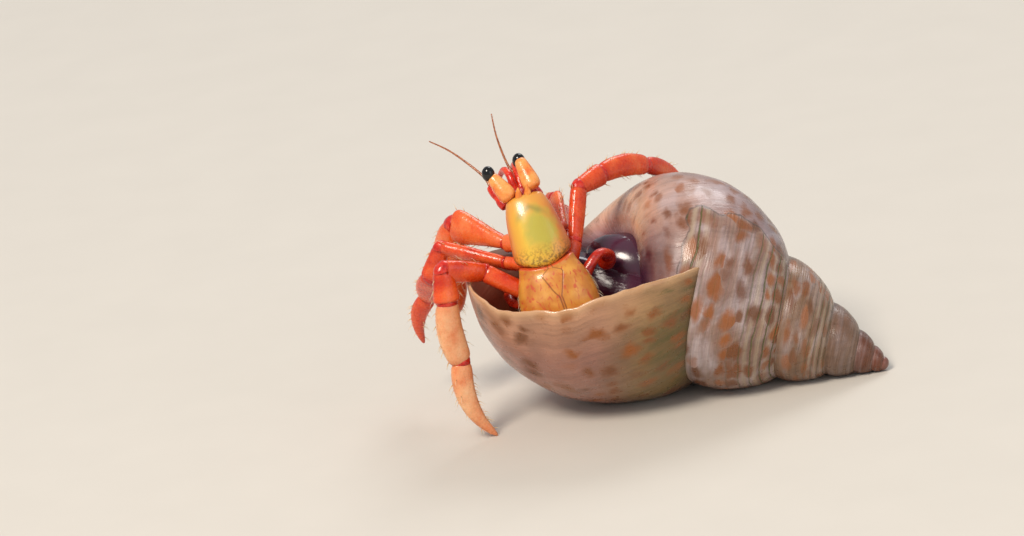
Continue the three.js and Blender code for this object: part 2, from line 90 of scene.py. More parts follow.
# The trunk: (x, y, z, half width, height of the back, depth of the belly), head first.
TRUNK = [
    (-24.02, 1.23, 16.41, 1.25, 0.75, 0.65),
    (-23.78, 0.71, 15.12, 1.72, 1.20, 1.15),
    (-23.51, 0.26, 13.73, 1.98, 1.45, 1.45),
    (-23.29, -0.13, 12.55, 1.96, 1.45, 1.55),
    (-23.14, -0.40, 11.72, 1.88, 1.30, 1.60),
    (-22.95, -0.74, 10.66, 2.50, 1.60, 1.70),
    (-22.75, -1.13, 9.47, 2.80, 1.75, 1.75),
    (-22.45, -1.51, 7.97, 2.80, 1.75, 1.75),
]
RIGHT_OF_CRAB = Vector((0.988, -0.048, -0.149))
CHAMBER_MIDDLE = (25.2, 7.4)
# Soft abdomen: (degrees back along the spiral, half width, half depth).
ABDOMEN = [
    (85, 2.6, 1.9), (125, 2.4, 1.9), (165, 2.1, 1.7), (205, 1.75, 1.45), (245, 1.3, 1.1), (275, 0.8, 0.7),
]
TAIL_TURNS = (272, 284, 294)

# Shapes of round parts: (place along the part, half depth, half thickness), times the part's size.
SHAPES = {
    "ischium": [(0, 0.55, 0.45), (0.15, 0.66, 0.54), (0.8, 0.66, 0.54), (0.93, 0.68, 0.55), (1, 0.5, 0.42)],
    "merus": [(0, 0.55, 0.45), (0.1, 0.7, 0.52), (0.55, 0.8, 0.56), (0.86, 0.8, 0.58),
              (0.94, 0.78, 0.57), (1, 0.64, 0.48)],
    "carpus": [(0, 0.64, 0.5), (0.14, 0.76, 0.56), (0.6, 0.92, 0.62), (0.88, 1.0, 0.65), (0.95, 0.97, 0.62),
               (1, 0.8, 0.52)],
    "propodus": [(0, 0.66, 0.46), (0.08, 0.88, 0.56), (0.3, 0.96, 0.6), (0.6, 0.99, 0.61), (0.86, 0.92, 0.57),
                 (0.95, 0.84, 0.52), (1, 0.7, 0.46)],
    "dactyl": [(0, 0.56, 0.42), (0.06, 0.78, 0.52), (0.25, 0.8, 0.54), (0.5, 0.68, 0.48), (0.75, 0.46, 0.37),
               (0.88, 0.3, 0.27), (1, 0.1, 0.1)],
    "arm": [(0, 0.42, 0.42), (0.15, 0.56, 0.54), (0.55, 0.97, 0.62), (0.85, 1.25, 0.66), (0.95, 1.2, 0.62),
            (1, 0.9, 0.46)],
    "wrist": [(0, 0.6, 0.55), (0.2, 1.0, 0.85), (0.65, 1.24, 1.04), (0.9, 1.05, 0.95), (1, 0.8, 0.75)],
    "palm": [(0, 0.55, 0.55), (0.12, 1.0, 0.82), (0.45, 1.38, 1.04), (0.8, 1.18, 0.88), (1, 0.7, 0.55)],
    "finger": [(0, 0.45, 0.4), (0.25, 0.55, 0.46), (0.7, 0.38, 0.34), (1, 0.12, 0.12)],
    "fixed finger": [(0, 0.4, 0.5), (0.3, 0.5, 0.52), (0.7, 0.34, 0.36), (1, 0.1, 0.1)],
    "hind leg": [(0, 0.8, 0.8), (0.15, 1, 0.9), (0.3, 0.85, 0.8), (0.5, 0.95, 0.85), (0.65, 1.15, 1.0),
                 (0.82, 1.5, 1.3), (0.94, 1.3, 1.2), (1, 0.7, 0.7)],
    "tail pad": [(0, 0.6, 0.35), (0.4, 0.95, 0.4), (0.8, 0.8, 0.32), (1, 0.4, 0.25)],
    "stalk": [(0, 0.34, 0.3), (0.05, 0.5, 0.46), (0.14, 0.64, 0.58), (0.3, 0.67, 0.6), (0.5, 0.61, 0.55),
              (0.75, 0.5, 0.46), (0.92, 0.41, 0.38), (1, 0.3, 0.28)],
    "scale": [(0, 0.26, 0.16), (0.3, 0.26, 0.16), (0.7, 0.16, 0.12), (1, 0.05, 0.05)],
    "base": [(0, 0.4, 0.4), (0.3, 0.46, 0.44), (0.45, 0.36, 0.36), (0.6, 0.42, 0.4), (0.85, 0.38, 0.36),
             (1, 0.28, 0.28)],
    "mouth_leg": [(0, 0.9, 0.8), (0.15, 1, 0.9), (0.3, 0.8, 0.75), (0.45, 1, 0.9), (0.62, 0.78, 0.74),
                  (0.8, 0.95, 0.85), (1, 0.55, 0.5)],
}
# The skin between two segments lies in folds: (place, share of the outer segment's first station).
FOLDS = [(0, 1.1), (0.15, 1.25), (0.3, 1.16), (0.42, 1.32), (0.55, 1.2), (0.7, 1.3), (0.85, 1.15), (1, 1.0)]
LEG_SEGMENTS = ("ischium", "merus", "carpus", "propodus", "dactyl")
CLAW_SEGMENTS = ("ischium", "arm", "wrist", "palm", "finger")
SEGMENT_BOW = {"propodus": 0.06, "dactyl": 0.13, "finger": 0.1}

# Each limb has a size and starts at a root inside the trunk. Each segment has a length, and a heading and
# a pitch in degrees.
LIMBS = {
    "leg_2_left": (0.84, (-24.59, 0.91, 11.54), LEG_SEGMENTS,
                   [(1.62, 147, 3), (5.07, 152, 13), (2.6, 154, -64), (3.87, 99, -38), (4.69, 111, -59)]),
    "leg_3_left": (1.0, (-24.63, -0.2, 9.75), LEG_SEGMENTS,
                   [(3.54, 168, 32), (3.19, -158, 18), (2.29, -103, -82), (4.53, 34, -85), (6.16, 7, -74)]),
    "leg_2_right": (0.84, (-22.17, 1.36, 11.96), LEG_SEGMENTS,
                    [(2.84, 69, 6), (5.82, 91, -2), (4.34, 94, -47), (5.52, 77, -69), (4.85, -74, -53)]),
    "leg_3_right": (0.84, (-21.93, -0.04, 10.22), LEG_SEGMENTS,
                    [(3.03, 58, 51), (3.91, 69, 52), (2.6, 48, 3), (4.73, 45, -11), (6.22, 43, -46)]),
    "claw_left": (1.0, (-24.28, 1.47, 12.95), CLAW_SEGMENTS,
                  [(2.1, 134, -7), (4.83, 138, 12), (3.73, 114, -60), (3.84, -157, -83), (2.53, -98, -58)]),
    "claw_right": (0.68, (-22.5, 1.82, 13.36), CLAW_SEGMENTS,
                   [(2.06, 62, -8), (3.84, 95, 15), (2.4, 108, -35), (3.57, 122, -33), (2.02, 127, -37)]),
}
# The two hind pairs are small and stay inside the shell's mouth.
SMALL_LEGS = {
    "leg_4_left": (0.38, (-24.3, 0.1, 8.9), [(2.1, 137, -8), (1.5, 99, 10), (1.3, 58, -14)]),
    "leg_4_right": (0.45, (-21.25, -0.23, 9.64), [(2.58, 27, 46), (1.47, 53, -17), (1.44, 110, -47)]),
    "leg_5_left": (0.3, (-24.2, -0.74, 8.07), [(1.85, 137, -1), (1.39, 101, -47)]),
    "leg_5_right": (0.3, (-20.96, -0.45, 8.33), [(2.28, 52, -9), (1.31, 106, -56)]),
}
# The head's parts on each side, each a line of points. The stalk reaches into the cornea by a share
# of its own length.
HEAD = {
    "left": {
        "stalk": [(-24.9, 0.95, 16.43), (-26.12, 1.84, 18.24)],
        "stalk_overlap": -0.06,
        "cornea": (-26.2, 1.8, 18.28),
        "scale": [(-24.36, 0.6, 16.5), (-24.31, 0.72, 17.3)],
        "base": [(-25.3, 2.0, 15.6), (-26.21, 3.19, 16.95)],
        "antenna": [(-26.21, 3.19, 16.95), (-26.7, 3.86, 17.71), (-28.47, 5.57, 19.09),
                    (-29.99, 7.62, 19.57)],
        "antennule": [(-24.46, 1.94, 16.1), (-24.72, 2.5, 17.6), (-25.14, 3.68, 17.8), (-25.73, 5.64, 16.07),
                      (-25.65, 6.52, 14.88)],
        "mouth_leg": [(-24.2, 1.9, 13.9), (-24.45, 3.6, 13.7), (-24.35, 4.5, 15.2), (-24.2, 4.2, 16.3)],
    },
    "right": {
        "stalk": [(-23.2, 1.0, 16.95), (-23.86, 2.25, 18.7)],
        "stalk_overlap": 0.08,
        "cornea": (-23.95, 2.7, 18.6),
        "scale": [(-23.7, 0.66, 16.65), (-23.66, 0.76, 17.42)],
        "base": [(-22.9, 2.1, 16.0), (-24.03, 3.31, 17.3)],
        "antenna": [(-24.03, 3.31, 17.3), (-24.69, 3.73, 17.94), (-25.2, 5.53, 19.6), (-25.33, 7.81, 20.81)],
        "antennule": [(-23.95, 1.96, 16.2), (-24.19, 2.9, 17.6), (-24.31, 4.34, 17.9), (-24.77, 6.11, 16.21),
                      (-24.76, 7.18, 14.97)],
        "mouth_leg": [(-22.95, 1.85, 14.1), (-23.1, 3.5, 14.0), (-23.3, 4.4, 15.4), (-23.45, 4.1, 16.5)],
    },
}

END_ROUNDING = 0.6           # size of a form's first and last ring, over that of the ring beside it
END_INSET = 0.012            # place of that second ring, as a share of the length
CORNEA_STRETCH = 1.2         # length of a cornea over its width
# The head's round parts: piece, size, stations, sides, finish, node and slot.
HEAD_PARTS = {
    "stalk": ("eyestalk_of_{}_eye", 1, 13, 14, "stalk", "eyestalk", "eyestalk"),
    "scale": ("scale_of_{}_eye", 1, 7, 10, "scale", "eye_scale", "head_shield"),
    "base": ("base_of_{}_antenna", 1, 13, 12, "feeler_base", "antenna_base", "joint_skin"),
    "mouth_leg": ("outer_mouth_leg_{}", 0.36, 19, 12, "feeler_base", "mouth_leg", "joint_skin"),
}
# Ringed whips: radius at the root, the share of it that is left at the tip, finish and slot.
WHIPS = {"antenna": (0.13, 0.35, "whip", "feeler"), "antennule": (0.36, 0.3, "feeler_base", "joint_skin")}
WHIP_RINGS = 45
BRISTLE_RADIUS = 0.028
SHIELD_EDGE = 3.55           # row of the trunk where the head shield's hind bristles grow
LOOK_AT = (-8.77, -4.19, 11.69)
# Lamps: name, direction from the crab, distance, size, power, colour.
LAMPS = [
    ("Key lamp", (-0.4, -0.6, 0.9), 0.7, 0.24, 4.2, "#FFF4E6"),
    ("Fill lamp", (0.9, -0.9, 0.4), 0.9, 0.6, 0.9, "#F2F5FF"),
    ("Rim lamp", (0.4, 0.8, 0.9), 0.8, 0.4, 2.0, "#FFFFFF"),
]

# ---------------------------------------------------------------- small tools


def hex_colour(text):
    """An sRGB hex value as linear red, green, blue and alpha."""
    channels = [int(text[i:i + 2], 16) / 255 for i in (1, 3, 5)]
    linear = [c / 12.92 if c <= 0.04045 else ((c + 0.055) / 1.055) ** 2.4 for c in channels]
    return (*linear, 1.0)


def per_mm(size):
    """The texture scale, in metres, that gives features of this size in millimetres."""
    return 1 / (size * MM)


def curve_point(points, share):
    """A point of the smooth curve through points, at a share of their number from 0 to 1."""
    last = len(points) - 1
    span = min(max(share, 0), 1) * last
    i = min(int(span), last - 1)
    f = span - i
    before, start, end, after = (points[min(max(i + k, 0), last)] for k in (-1, 0, 1, 2))
    return 0.5 * (2 * start + (end - before) * f + (2 * before - 5 * start + 4 * end - after) * f ** 2
                  + (3 * start - before - 3 * end + after) * f ** 3)


def curve_direction(points, share):
    """The direction of that curve."""
    step = 0.02
    ahead = curve_point(points, min(share + step, 1))
    return (ahead - curve_point(points, max(share - step, 0))).normalized()


def square_to(vector, along):
    """The unit vector nearest to this one that is square to a direction."""
    return (vector - along * vector.dot(along)).normalized()


def evenly(start, span, count):
    """Values at even steps over a span."""
    return [start + span * k / (count - 1) for k in range(count)]


def smooth_step(low, high, value):
    """0 below low, 1 above high, and a smooth rise between."""
    f = min(max((value - low) / (high - low), 0), 1)
    return f * f * (3 - 2 * f)


def add_node(tree, kind, *inputs, stops=None, output=0, **named):
    """Adds a node and returns one of its outputs. Inputs come in their order or by name, as a value, an
    sRGB hex colour or another node's output. Names that aren't inputs are the node's own settings."""
    node = tree.nodes.new("ShaderNode" + kind)
    for name in [name for name in named if name not in node.inputs]:
        setattr(node, name, named.pop(name))
    pairs = list(zip([socket for socket in node.inputs if socket.enabled], inputs))
    for socket, value in pairs + [(node.inputs[name], value) for name, value in named.items()]:
        if isinstance(value, bpy.types.NodeSocket):
            tree.links.new(value, socket)
        else:
            socket.default_value = hex_colour(value) if isinstance(value, str) else value
    if stops:
        ramp = node.color_ramp
        while len(ramp.elements) < len(stops):
            ramp.elements.new(1)
        for element, (position, colour) in zip(ramp.elements, stops.items()):
            element.position = position
            element.color = hex_colour(colour) if isinstance(colour, str) else colour
    return [socket for socket in node.outputs if socket.enabled][output]


def grey_stops(levels):
    """Stops of a colour ramp that carries plain values: place and value of each."""
    return {place: (value, value, value, 1) for place, value in levels.items()}


def new_material(name, roughness, coat=0.0, glow=0.0):
    """A material whose shader has its fixed values, and the function that adds nodes to it."""
    material = bpy.data.materials.new(name)
    material.use_nodes = True
    fixed = {
        "Roughness": roughness, "Coat Weight": coat, "Coat Roughness": 0.06, "Subsurface Weight": glow,
        "Subsurface Radius": (1.0, 0.35, 0.18), "Subsurface Scale": 0.6 * MM,
    }
    for socket, value in fixed.items():
        material.node_tree.nodes["Principled BSDF"].inputs[socket].default_value = value
    return material, partial(add_node, material.node_tree)


def drive_shader(material, **sources):
    """Links what varies over the surface to the shader; a space in an input's name is written as _."""
    tree = material.node_tree
    for name, source in sources.items():
        tree.links.new(source, tree.nodes["Principled BSDF"].inputs[name.replace("_", " ")])
    return material


# ---------------------------------------------------------------- shapes


def extrude_carried(bm, edges, carry):
    """Extrudes a loop of edges and carries the new points by a matrix; returns points and edges."""
    made = bmesh.ops.extrude_edge_only(bm, edges=edges)["geom"]
    verts = [item for item in made if isinstance(item, bmesh.types.BMVert)]
    inside = set(verts)
    loop = [item for item in made if isinstance(item, bmesh.types.BMEdge)
            and item.verts[0] in inside and item.verts[1] in inside]
    bmesh.ops.transform(bm, matrix=carry, verts=verts)
    return verts, loop


def extrude_rings(bm, placements, places, sides, section=None):
    """Extrudes a circle through a list of placement matrices, closes both ends and returns its rings.
    Each ring's place along the piece is stored for the markings."""
    for layer in ("along", "sideways"):
        if layer not in bm.verts.layers.float:
            bm.verts.layers.float.new(layer)
    ring = bmesh.ops.create_circle(bm, segments=sides, radius=1)["verts"]
    if section:
        for vert in ring:
            vert.co = Vector((*section(math.atan2(vert.co.y, vert.co.x)), 0))
    bmesh.ops.transform(bm, matrix=placements[0], verts=ring)
    start = edges = [edge for edge in bm.edges if edge.verts[0] in ring and edge.verts[1] in ring]
    rings = [ring]
    for before, after in zip(placements, placements[1:]):
        ring, edges = extrude_carried(bm, edges, after @ before.inverted())
        rings.append(ring)
    for loop in (start, edges):
        bmesh.ops.contextual_create(bm, geom=loop)
    along = bm.verts.layers.float["along"]
    for ring, place in zip(rings, places):
        for vert in ring:
            vert[along] = place
    return rings


def ring_placement(centre, along, across, depth, thickness):
    """The matrix that sets a unit circle across a direction, as an ellipse."""
    across = square_to(across, along)
    rotation = Matrix((across, along.cross(across), along)).transposed()
    return Matrix.Translation(centre) @ (rotation @ Matrix.Diagonal((depth, thickness, depth))).to_4x4()


def loft(bm, points, stations, across, sides=12, section=None):
    """A closed round form along a curve of points; stations are (place, depth, thickness)."""
    placements = [
        ring_placement(curve_point(points, share), curve_direction(points, share), across, depth, thickness)
        for share, depth, thickness in stations]
    extrude_rings(bm, placements, [station[0] for station in stations], sides, section)


def shape_row(shape, share):
    """The station of a shape at a share of its length: (place, half depth, half thickness)."""
    rows = [Vector(row) for row in SHAPES[shape]]
    low = max(i for i, row in enumerate(rows[:-1]) if row[0] <= share + 1e-6)
    f = (share - rows[low][0]) / (rows[low + 1][0] - rows[low][0])
    return curve_point(rows, (low + f) / (len(rows) - 1))


def smooth_stations(shape, size, count):
    """A shape's few stations made into many, with rounded ends."""
    stations = []
    for share in evenly(0, 1, count):
        _, depth, thickness = shape_row(shape, share)
        stations.append((share, depth * size, thickness * size))
    tips = [(share, depth * END_ROUNDING, thickness * END_ROUNDING)
            for share, depth, thickness in (stations[0], stations[-1])]
    stations[0] = (END_INSET, *stations[0][1:])
    stations[-1] = (1 - END_INSET, *stations[-1][1:])
    return [tips[0], *stations, tips[1]]


def roughen(verts, size, amount, seed):
    """Moves points a little in and out along their normals, in bumps of this size."""
    offset = Vector((seed, seed * 0.7, seed * 1.3))
    for vert in verts:
        vert.co += vert.normal * (noise.noise(vert.co / size + offset) * amount)


def finish_piece(bm, name, finish, nodes=(), levels=2):
    """Moves a form made in millimetres from the spiral's start into the frame, and makes it an object
    of the scene that stands for its nodes of the frame."""
    bmesh.ops.transform(bm, matrix=Matrix.Scale(MM, 4) @ Matrix.Translation(SPIRAL_START), verts=bm.verts)
    bmesh.ops.remove_doubles(bm, verts=bm.verts, dist=1e-7)
    bmesh.ops.recalc_face_normals(bm, faces=bm.faces)
    for vert in bm.verts:
        vert.co.z = max(vert.co.z, 0)
    for face in bm.faces:
        face.smooth = True
    mesh = bpy.data.meshes.new(name)
    bm.to_mesh(mesh)
    bm.free()
    mesh.materials.append(finishes()[finish])
    piece = bpy.data.objects.new(name, mesh)
    bpy.context.scene.collection.objects.link(piece)
    if levels:
        surface = piece.modifiers.new("Smooth surface", "SUBSURF")
        surface.levels = levels
        surface.render_levels = levels
    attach(piece, "root")
    if nodes:
        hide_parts(*nodes)


def build_forms(name, forms, finish, nodes=(), levels=2):
    """A piece made of round forms; each is the list of what a loft needs, from its points on."""
    bm = bmesh.new()
    for points, *rest in forms:
        points = [Vector(point) for point in points]
        if len(points) == 2:
            points.insert(1, points[0].lerp(points[1], 0.5))
        loft(bm, points, *rest)
    finish_piece(bm, name, finish, nodes, levels)


# ---------------------------------------------------------------- shell

SHELL_AXIS = Vector((
    math.cos(AXIS_SLOPE) * math.cos(AXIS_HEADING),
    math.cos(AXIS_SLOPE) * math.sin(AXIS_HEADING),
    math.sin(AXIS_SLOPE),
))
NEAR_SIDE = Vector((SHELL_AXIS.y, -SHELL_AXIS.x, 0)).normalized()
UPPER_SIDE = NEAR_SIDE.cross(SHELL_AXIS).normalized()
LIP_POINTS = 50              # points across the wall from the suture to the base, on each side
PILLAR_POINTS = 20
LIP_SHARE = 0.78             # the place across the whorl, from 0 to 1, where the base begins
PILLAR_SHARE = 0.65          # the same measure from there to the end of the pillar
PILLAR_ZONE = (0.6, 0.85)    # places across between which the wall turns into the pillar
TURNS = 5.35
STEPS = (2.0, 5.0, 9.0)      # degrees of each extrusion: on fine, plain and the oldest shell
FINE_LIP = 24                # degrees of fine steps at the lip
OLDEST_TURN = 760            # degrees back where the oldest shell begins
LIP_THINNING = 0.22          # thickness of the lip's edge over that of the wall
LIP_THIN_TURN = 45           # degrees behind the lip where the wall is full
LIP_WAVE = 1.8               # degrees by which the lip's edge wanders
LIP_WAVES = ((10, 3.1, 1.0), (37, 8.2, 0.45))    # bumps across the whorl, seed and share of each wave
PILLAR_LIP = 0.35            # the same for the lip's end on the pillar, which is full after this turn
PILLAR_LIP_TURN = 40
# A mended break runs along a former lip, this far back at the base and further at the suture.
SCAR_TURN = 282.0
SCAR_SWEEP = 36.0
SCAR_END = 0.53              # place across the whorl where the glaze of the mouth begins
SCAR_LIFT = 0.1              # the old shell stands proud of the new there, by this many mm
SCAR_STEP = (-2, 2)          # degrees of age over which it rises
SCAR_FADE = (60, 300)        # degrees of age over which it sinks back
SCAR_BEND = 0.45             # the break turns back between this place across and the suture
SCAR_FINE = (16, 8)          # degrees of fine steps before and after the break
GROWTH_RELIEF = 0.07         # height of the growth steps, in mm at the lip
GROWTH_START = 20            # degrees behind the lip where the growth relief is full
NUCLEUS_HEIGHT = 0.95        # the spiral's first bead: its place on the axis, radius and age
NUCLEUS_RADIUS = 0.5
NUCLEUS_AGE = 900
GLAZE_PLACE = (0.95, 1.0)    # turn and place across that the finish glazes


def shrunk(lag):
    """Size of the shell this many degrees back along its spiral, over that at the lip."""
    return WHORL_GROWTH ** (-lag / 360)


def spiral_point(height, radius, lag):
    """A point of the spiral, in millimetres: as at the lip's start, moved back by lag degrees."""
    angle = math.radians(LIP_START_ANGLE - lag)
    flat = NEAR_SIDE * math.cos(angle) + UPPER_SIDE * math.sin(angle)
    return (flat * radius - SHELL_AXIS * height) * shrunk(lag)


def even_points(points, count):
    """Points at even distances along the smooth curve through a list."""
    points = [Vector(point) for point in points]
    fine = [curve_point(points, share) for share in evenly(0, 1, 601)]
    lengths = [0.0]
    for before, after in zip(fine, fine[1:]):
        lengths.append(lengths[-1] + (after - before).to_2d().length)
    chosen = []
    i = 0
    for target in evenly(0, lengths[-1], count):
        while i < len(lengths) - 2 and lengths[i + 1] < target:
            i += 1
        f = (target - lengths[i]) / (lengths[i + 1] - lengths[i])
        chosen.append(fine[i].lerp(fine[i + 1], f))
    return chosen


def shell_section(wall):
    """The wall's outer and inner side as (place across, height, radius, lag), from suture to pillar."""
    base = len(WHORL_OUTLINE) - BASE_ROWS
    offset = []
    for i, row in enumerate(WHORL_OUTLINE[1:base - 1], start=1):
        run = (Vector(WHORL_OUTLINE[i + 1]) - Vector(WHORL_OUTLINE[i - 1])).to_2d().normalized()
        offset.append((row[0] + wall * run.y, row[1] - wall * run.x, row[2]))
    sides = []
    for lip, pillar in (
        ([SUTURE_ROOT, *WHORL_OUTLINE[:base]], [*WHORL_OUTLINE[base - 1:], *BASE_END]),
        ([INNER_ROOT, *offset, COLUMELLA[0]], COLUMELLA),
    ):
        side = [*zip(evenly(0, LIP_SHARE, LIP_POINTS), even_points(lip, LIP_POINTS))]
        count = PILLAR_POINTS + 1
        side += [*zip(evenly(LIP_SHARE, PILLAR_SHARE, count), even_points(pillar, count))][1:]
        sides.append(side)
    return sides


def turn_steps():
    """How many degrees the wall is carried back by each extrusion: fine at the lip and the scar."""
    fine, plain, coarse = STEPS
    before, after = SCAR_FINE
    turn = 0.0
    while turn < TURNS * 360:
        if turn < FINE_LIP or SCAR_TURN - before < turn < SCAR_TURN + SCAR_SWEEP + after:
            step = fine
        else:
            step = plain if turn < OLDEST_TURN else coarse
        yield step
        turn += step


def float_layers(bm, *names):
    """The layers that hold plain values under these names."""
    return [bm.verts.layers.float[name] for name in names]


def lip_ring(bm, outer, inner):
    """The loop of points round the wall's edge at the lip, whose outer side comes first."""
    across_layer, inner_layer = float_layers(bm, "across", "inner")
    order = bm.verts.layers.int["order"]
    ring = []
    for side, rows in ((0.0, outer), (1.0, inner[::-1])):
        for across, row in rows:
            wave = sum(
                share * noise.noise(Vector((across * bumps, 0, seed))) for bumps, seed, share in LIP_WAVES)
            wave *= LIP_WAVE * (1 - smooth_step(*PILLAR_ZONE, across))
            carry = Matrix.Rotation(math.radians(LIP_START_ANGLE - row.z - wave), 3, "Z")
            vert = bm.verts.new(carry @ Vector((row.y, 0, row.x)) * shrunk(row.z))
            vert[across_layer] = across
            vert[inner_layer] = side
            vert[order] = len(ring)
            ring.append(vert)
    return ring


def close_end(bm, loop, order, count):
    """Closes the wall's end between its outer and its inner side."""
    sides = [edge for edge in loop if (edge.verts[0][order] < count) == (edge.verts[1][order] < count)]
    bmesh.ops.bridge_loops(bm, edges=sides)


def age_of(turn, across):
    """Degrees by which a place lies behind the mended break; negative on the newer shell."""
    sweep = SCAR_SWEEP * max(0, 1 - across / SCAR_BEND) ** 1.5
    ragged = 5 * noise.noise(Vector((across * 11, 5.0, 1.0)))
    side = (SCAR_END + 0.02 * noise.noise(Vector((turn * 0.09, 7.0, 2.0))) - across) * 300
    return min(turn - SCAR_TURN - sweep - ragged, side)


def shape_wall(bm, rings):
    """Thins the wall towards the lip, lifts the old shell over the mended edge and adds growth steps."""
    across_layer, age_layer, run_layer = float_layers(bm, "across", "age", "run")
    for turn, verts in rings:
        thin = LIP_THINNING + (1 - LIP_THINNING) * smooth_step(0, LIP_THIN_TURN, turn)
        scale = shrunk(turn)
        for outer, inner in zip(verts[:len(verts) // 2], reversed(verts)):
            across = outer[across_layer]
            wall = inner.co - outer.co
            on_pillar = smooth_step(*PILLAR_ZONE, across)
            stout = on_pillar * (PILLAR_LIP + (1 - PILLAR_LIP) * smooth_step(0, PILLAR_LIP_TURN, turn))
            inner.co = outer.co + wall * (thin + (1 - thin) * stout)
            age = age_of(turn, across)
            lift = SCAR_LIFT * (smooth_step(*SCAR_STEP, age) - smooth_step(*SCAR_FADE, age))
            growth = GROWTH_RELIEF * noise.noise(Vector((turn * 0.11, across * 1.5, 2.0)))
            growth *= scale if turn > GROWTH_START else turn / GROWTH_START
            outer.co -= wall.normalized() * (lift + growth) * (1 - on_pillar)
            for vert in (outer, inner):
                vert[age_layer] = age
                vert[run_layer] = (1 - scale) / math.log(WHORL_GROWTH)


def add_pillar(bm):
    """Turns the pillar's rounded end about the axis, for the finish to glaze."""
    turn_layer, across_layer, inner_layer = float_layers(bm, "turn", "across", "inner")
    profile = [bm.verts.new((radius, 0, height)) for radius, height in PILLAR]
    lines = [bm.edges.new(pair) for pair in zip(profile, profile[1:])]
    bmesh.ops.spin(
        bm, geom=profile + lines, axis=(0, 0, 1), cent=(0, 0, 0), angle=math.tau, steps=48, use_merge=True)
    for vert in bm.verts:
        if vert[turn_layer] == 0 and vert[across_layer] == 0:
            vert[turn_layer], vert[across_layer] = GLAZE_PLACE
            vert[inner_layer] = 0.0


def add_nucleus(bm):
    """The first bead of shell, which rounds off the spiral's tip."""
    place = Matrix.Translation((0, 0, NUCLEUS_HEIGHT)) @ Matrix.Diagonal((1, 1, 0.85, 1))
    tip = bmesh.ops.create_uvsphere(bm, u_segments=24, v_segments=16, radius=NUCLEUS_RADIUS, matrix=place)
    for name, value in (("turn", TURNS), ("across", 0.3), ("age", NUCLEUS_AGE)):
        layer = bm.verts.layers.float[name]
        for vert in tip["verts"]:
            vert[layer] = value


def build_shell(settings):
    """Extrudes the lip's outline back along the spiral, turning and shrinking it at each step."""
    outer, inner = shell_section(settings.wall / MM)
    bm = bmesh.new()
    for name in ("turn", "across", "inner", "age", "run"):
        bm.verts.layers.float.new(name)
    bm.verts.layers.int.new("order")
    turn_layer = bm.verts.layers.float["turn"]
    order = bm.verts.layers.int["order"]
    ring = lip_ring(bm, outer, inner)
    lip = edges = [bm.edges.new((a, b)) for a, b in zip(ring, ring[1:] + ring[:1])]
    rings = [(0.0, ring)]
    for step in turn_steps():
        turn = rings[-1][0] + step
        carry = Matrix.Rotation(math.radians(-step), 4, "Z") @ Matrix.Scale(shrunk(step), 4)
        verts, edges = extrude_carried(bm, edges, carry)
        for vert in verts:
            vert[turn_layer] = turn / 360
        rings.append((turn, sorted(verts, key=lambda vert: vert[order])))
    shape_wall(bm, rings)
    for loop in (lip, edges):
        close_end(bm, loop, order, len(outer))
    add_pillar(bm)
    add_nucleus(bm)
    axes = Matrix((NEAR_SIDE, UPPER_SIDE, -SHELL_AXIS)).transposed().to_4x4()
    bmesh.ops.transform(bm, matrix=axes, verts=bm.verts)
    finish_piece(bm, "snail_shell", "shell", ["shell"], 0)


# ---------------------------------------------------------------- trunk

TRUNK_MIDDLE = [Vector(row[:3]) for row in TRUNK] + [
    spiral_point(*CHAMBER_MIDDLE, lag) for lag, _, _ in ABDOMEN]
TRUNK_SIZES = [Vector(row[3:]) for row in TRUNK] + [
    Vector((width, depth, depth)) for _, width, depth in ABDOMEN]
LAST_ROW = len(TRUNK_SIZES) - 1
FRONT_SPACING = 1.4          # length of one row before the first, in mm
PLATE_LIFT = 0.03            # the plates lie this far above the trunk's middle, and the skin below it
GROOVE_BOW = 0.5             # how far the groove between the plates reaches back at its middle, in mm
GROOVE_ROWS = (2.0, 3.6, 4.8)        # rows where the bow begins, is full and ends
ABDOMEN_ROUNDING = 0.8       # the abdomen has no plates, so its back is filled out by this share
# Rows of each form and its share of the trunk's size there.
SHIELD_ROWS = [
    (-0.08, 0.62), (-0.05, 0.86), (0.02, 0.98), (0.15, 1.06), (0.5, 1.06), (1.0, 1.03), (1.5, 1.0),
    (2.0, 1.0), (2.4, 1.03), (2.8, 1.07), (3.05, 1.06), (3.27, 1.02), (3.45, 0.92), (3.57, 0.74),
    (3.63, 0.5),
]
CARAPACE_ROWS = [
    (3.49, 0.82), (3.55, 1.0), (3.64, 1.08), (3.8, 1.1), (4.2, 1.08), (4.7, 1.04), (5.3, 1.0), (5.8, 1.0),
    (6.3, 1.0), (6.8, 0.99), (7.0, 0.95), (7.08, 0.8),
]
SKIN_ROWS = [
    (-0.55, 0.3), (-0.48, 0.6), (-0.35, 0.78), (-0.1, 0.88), (0.3, 0.93), (1.0, 0.97), (2.0, 0.97),
    (3.0, 0.97), (3.6, 0.96), (4.0, 0.95), (4.4, 0.93), (5.0, 0.92), (6.0, 0.92), (7.0, 0.92), (7.5, 0.94),
    (8.0, 0.95), (8.5, 0.95), (9.0, 0.96), (9.5, 0.95), (10.0, 0.95), (10.5, 0.95), (11.0, 0.96),
    (11.5, 0.96), (12.0, 0.95), (12.6, 0.85), (13.0, 0.5),
]


def trunk_sides():
    """The crab's right-hand side at each row, carried down the body without twisting."""
    sides = [RIGHT_OF_CRAB]
    for row in range(1, LAST_ROW + 1):
        sides.append(square_to(sides[-1], curve_direction(TRUNK_MIDDLE, row / LAST_ROW)))
    return sides


TRUNK_SIDES = trunk_sides()


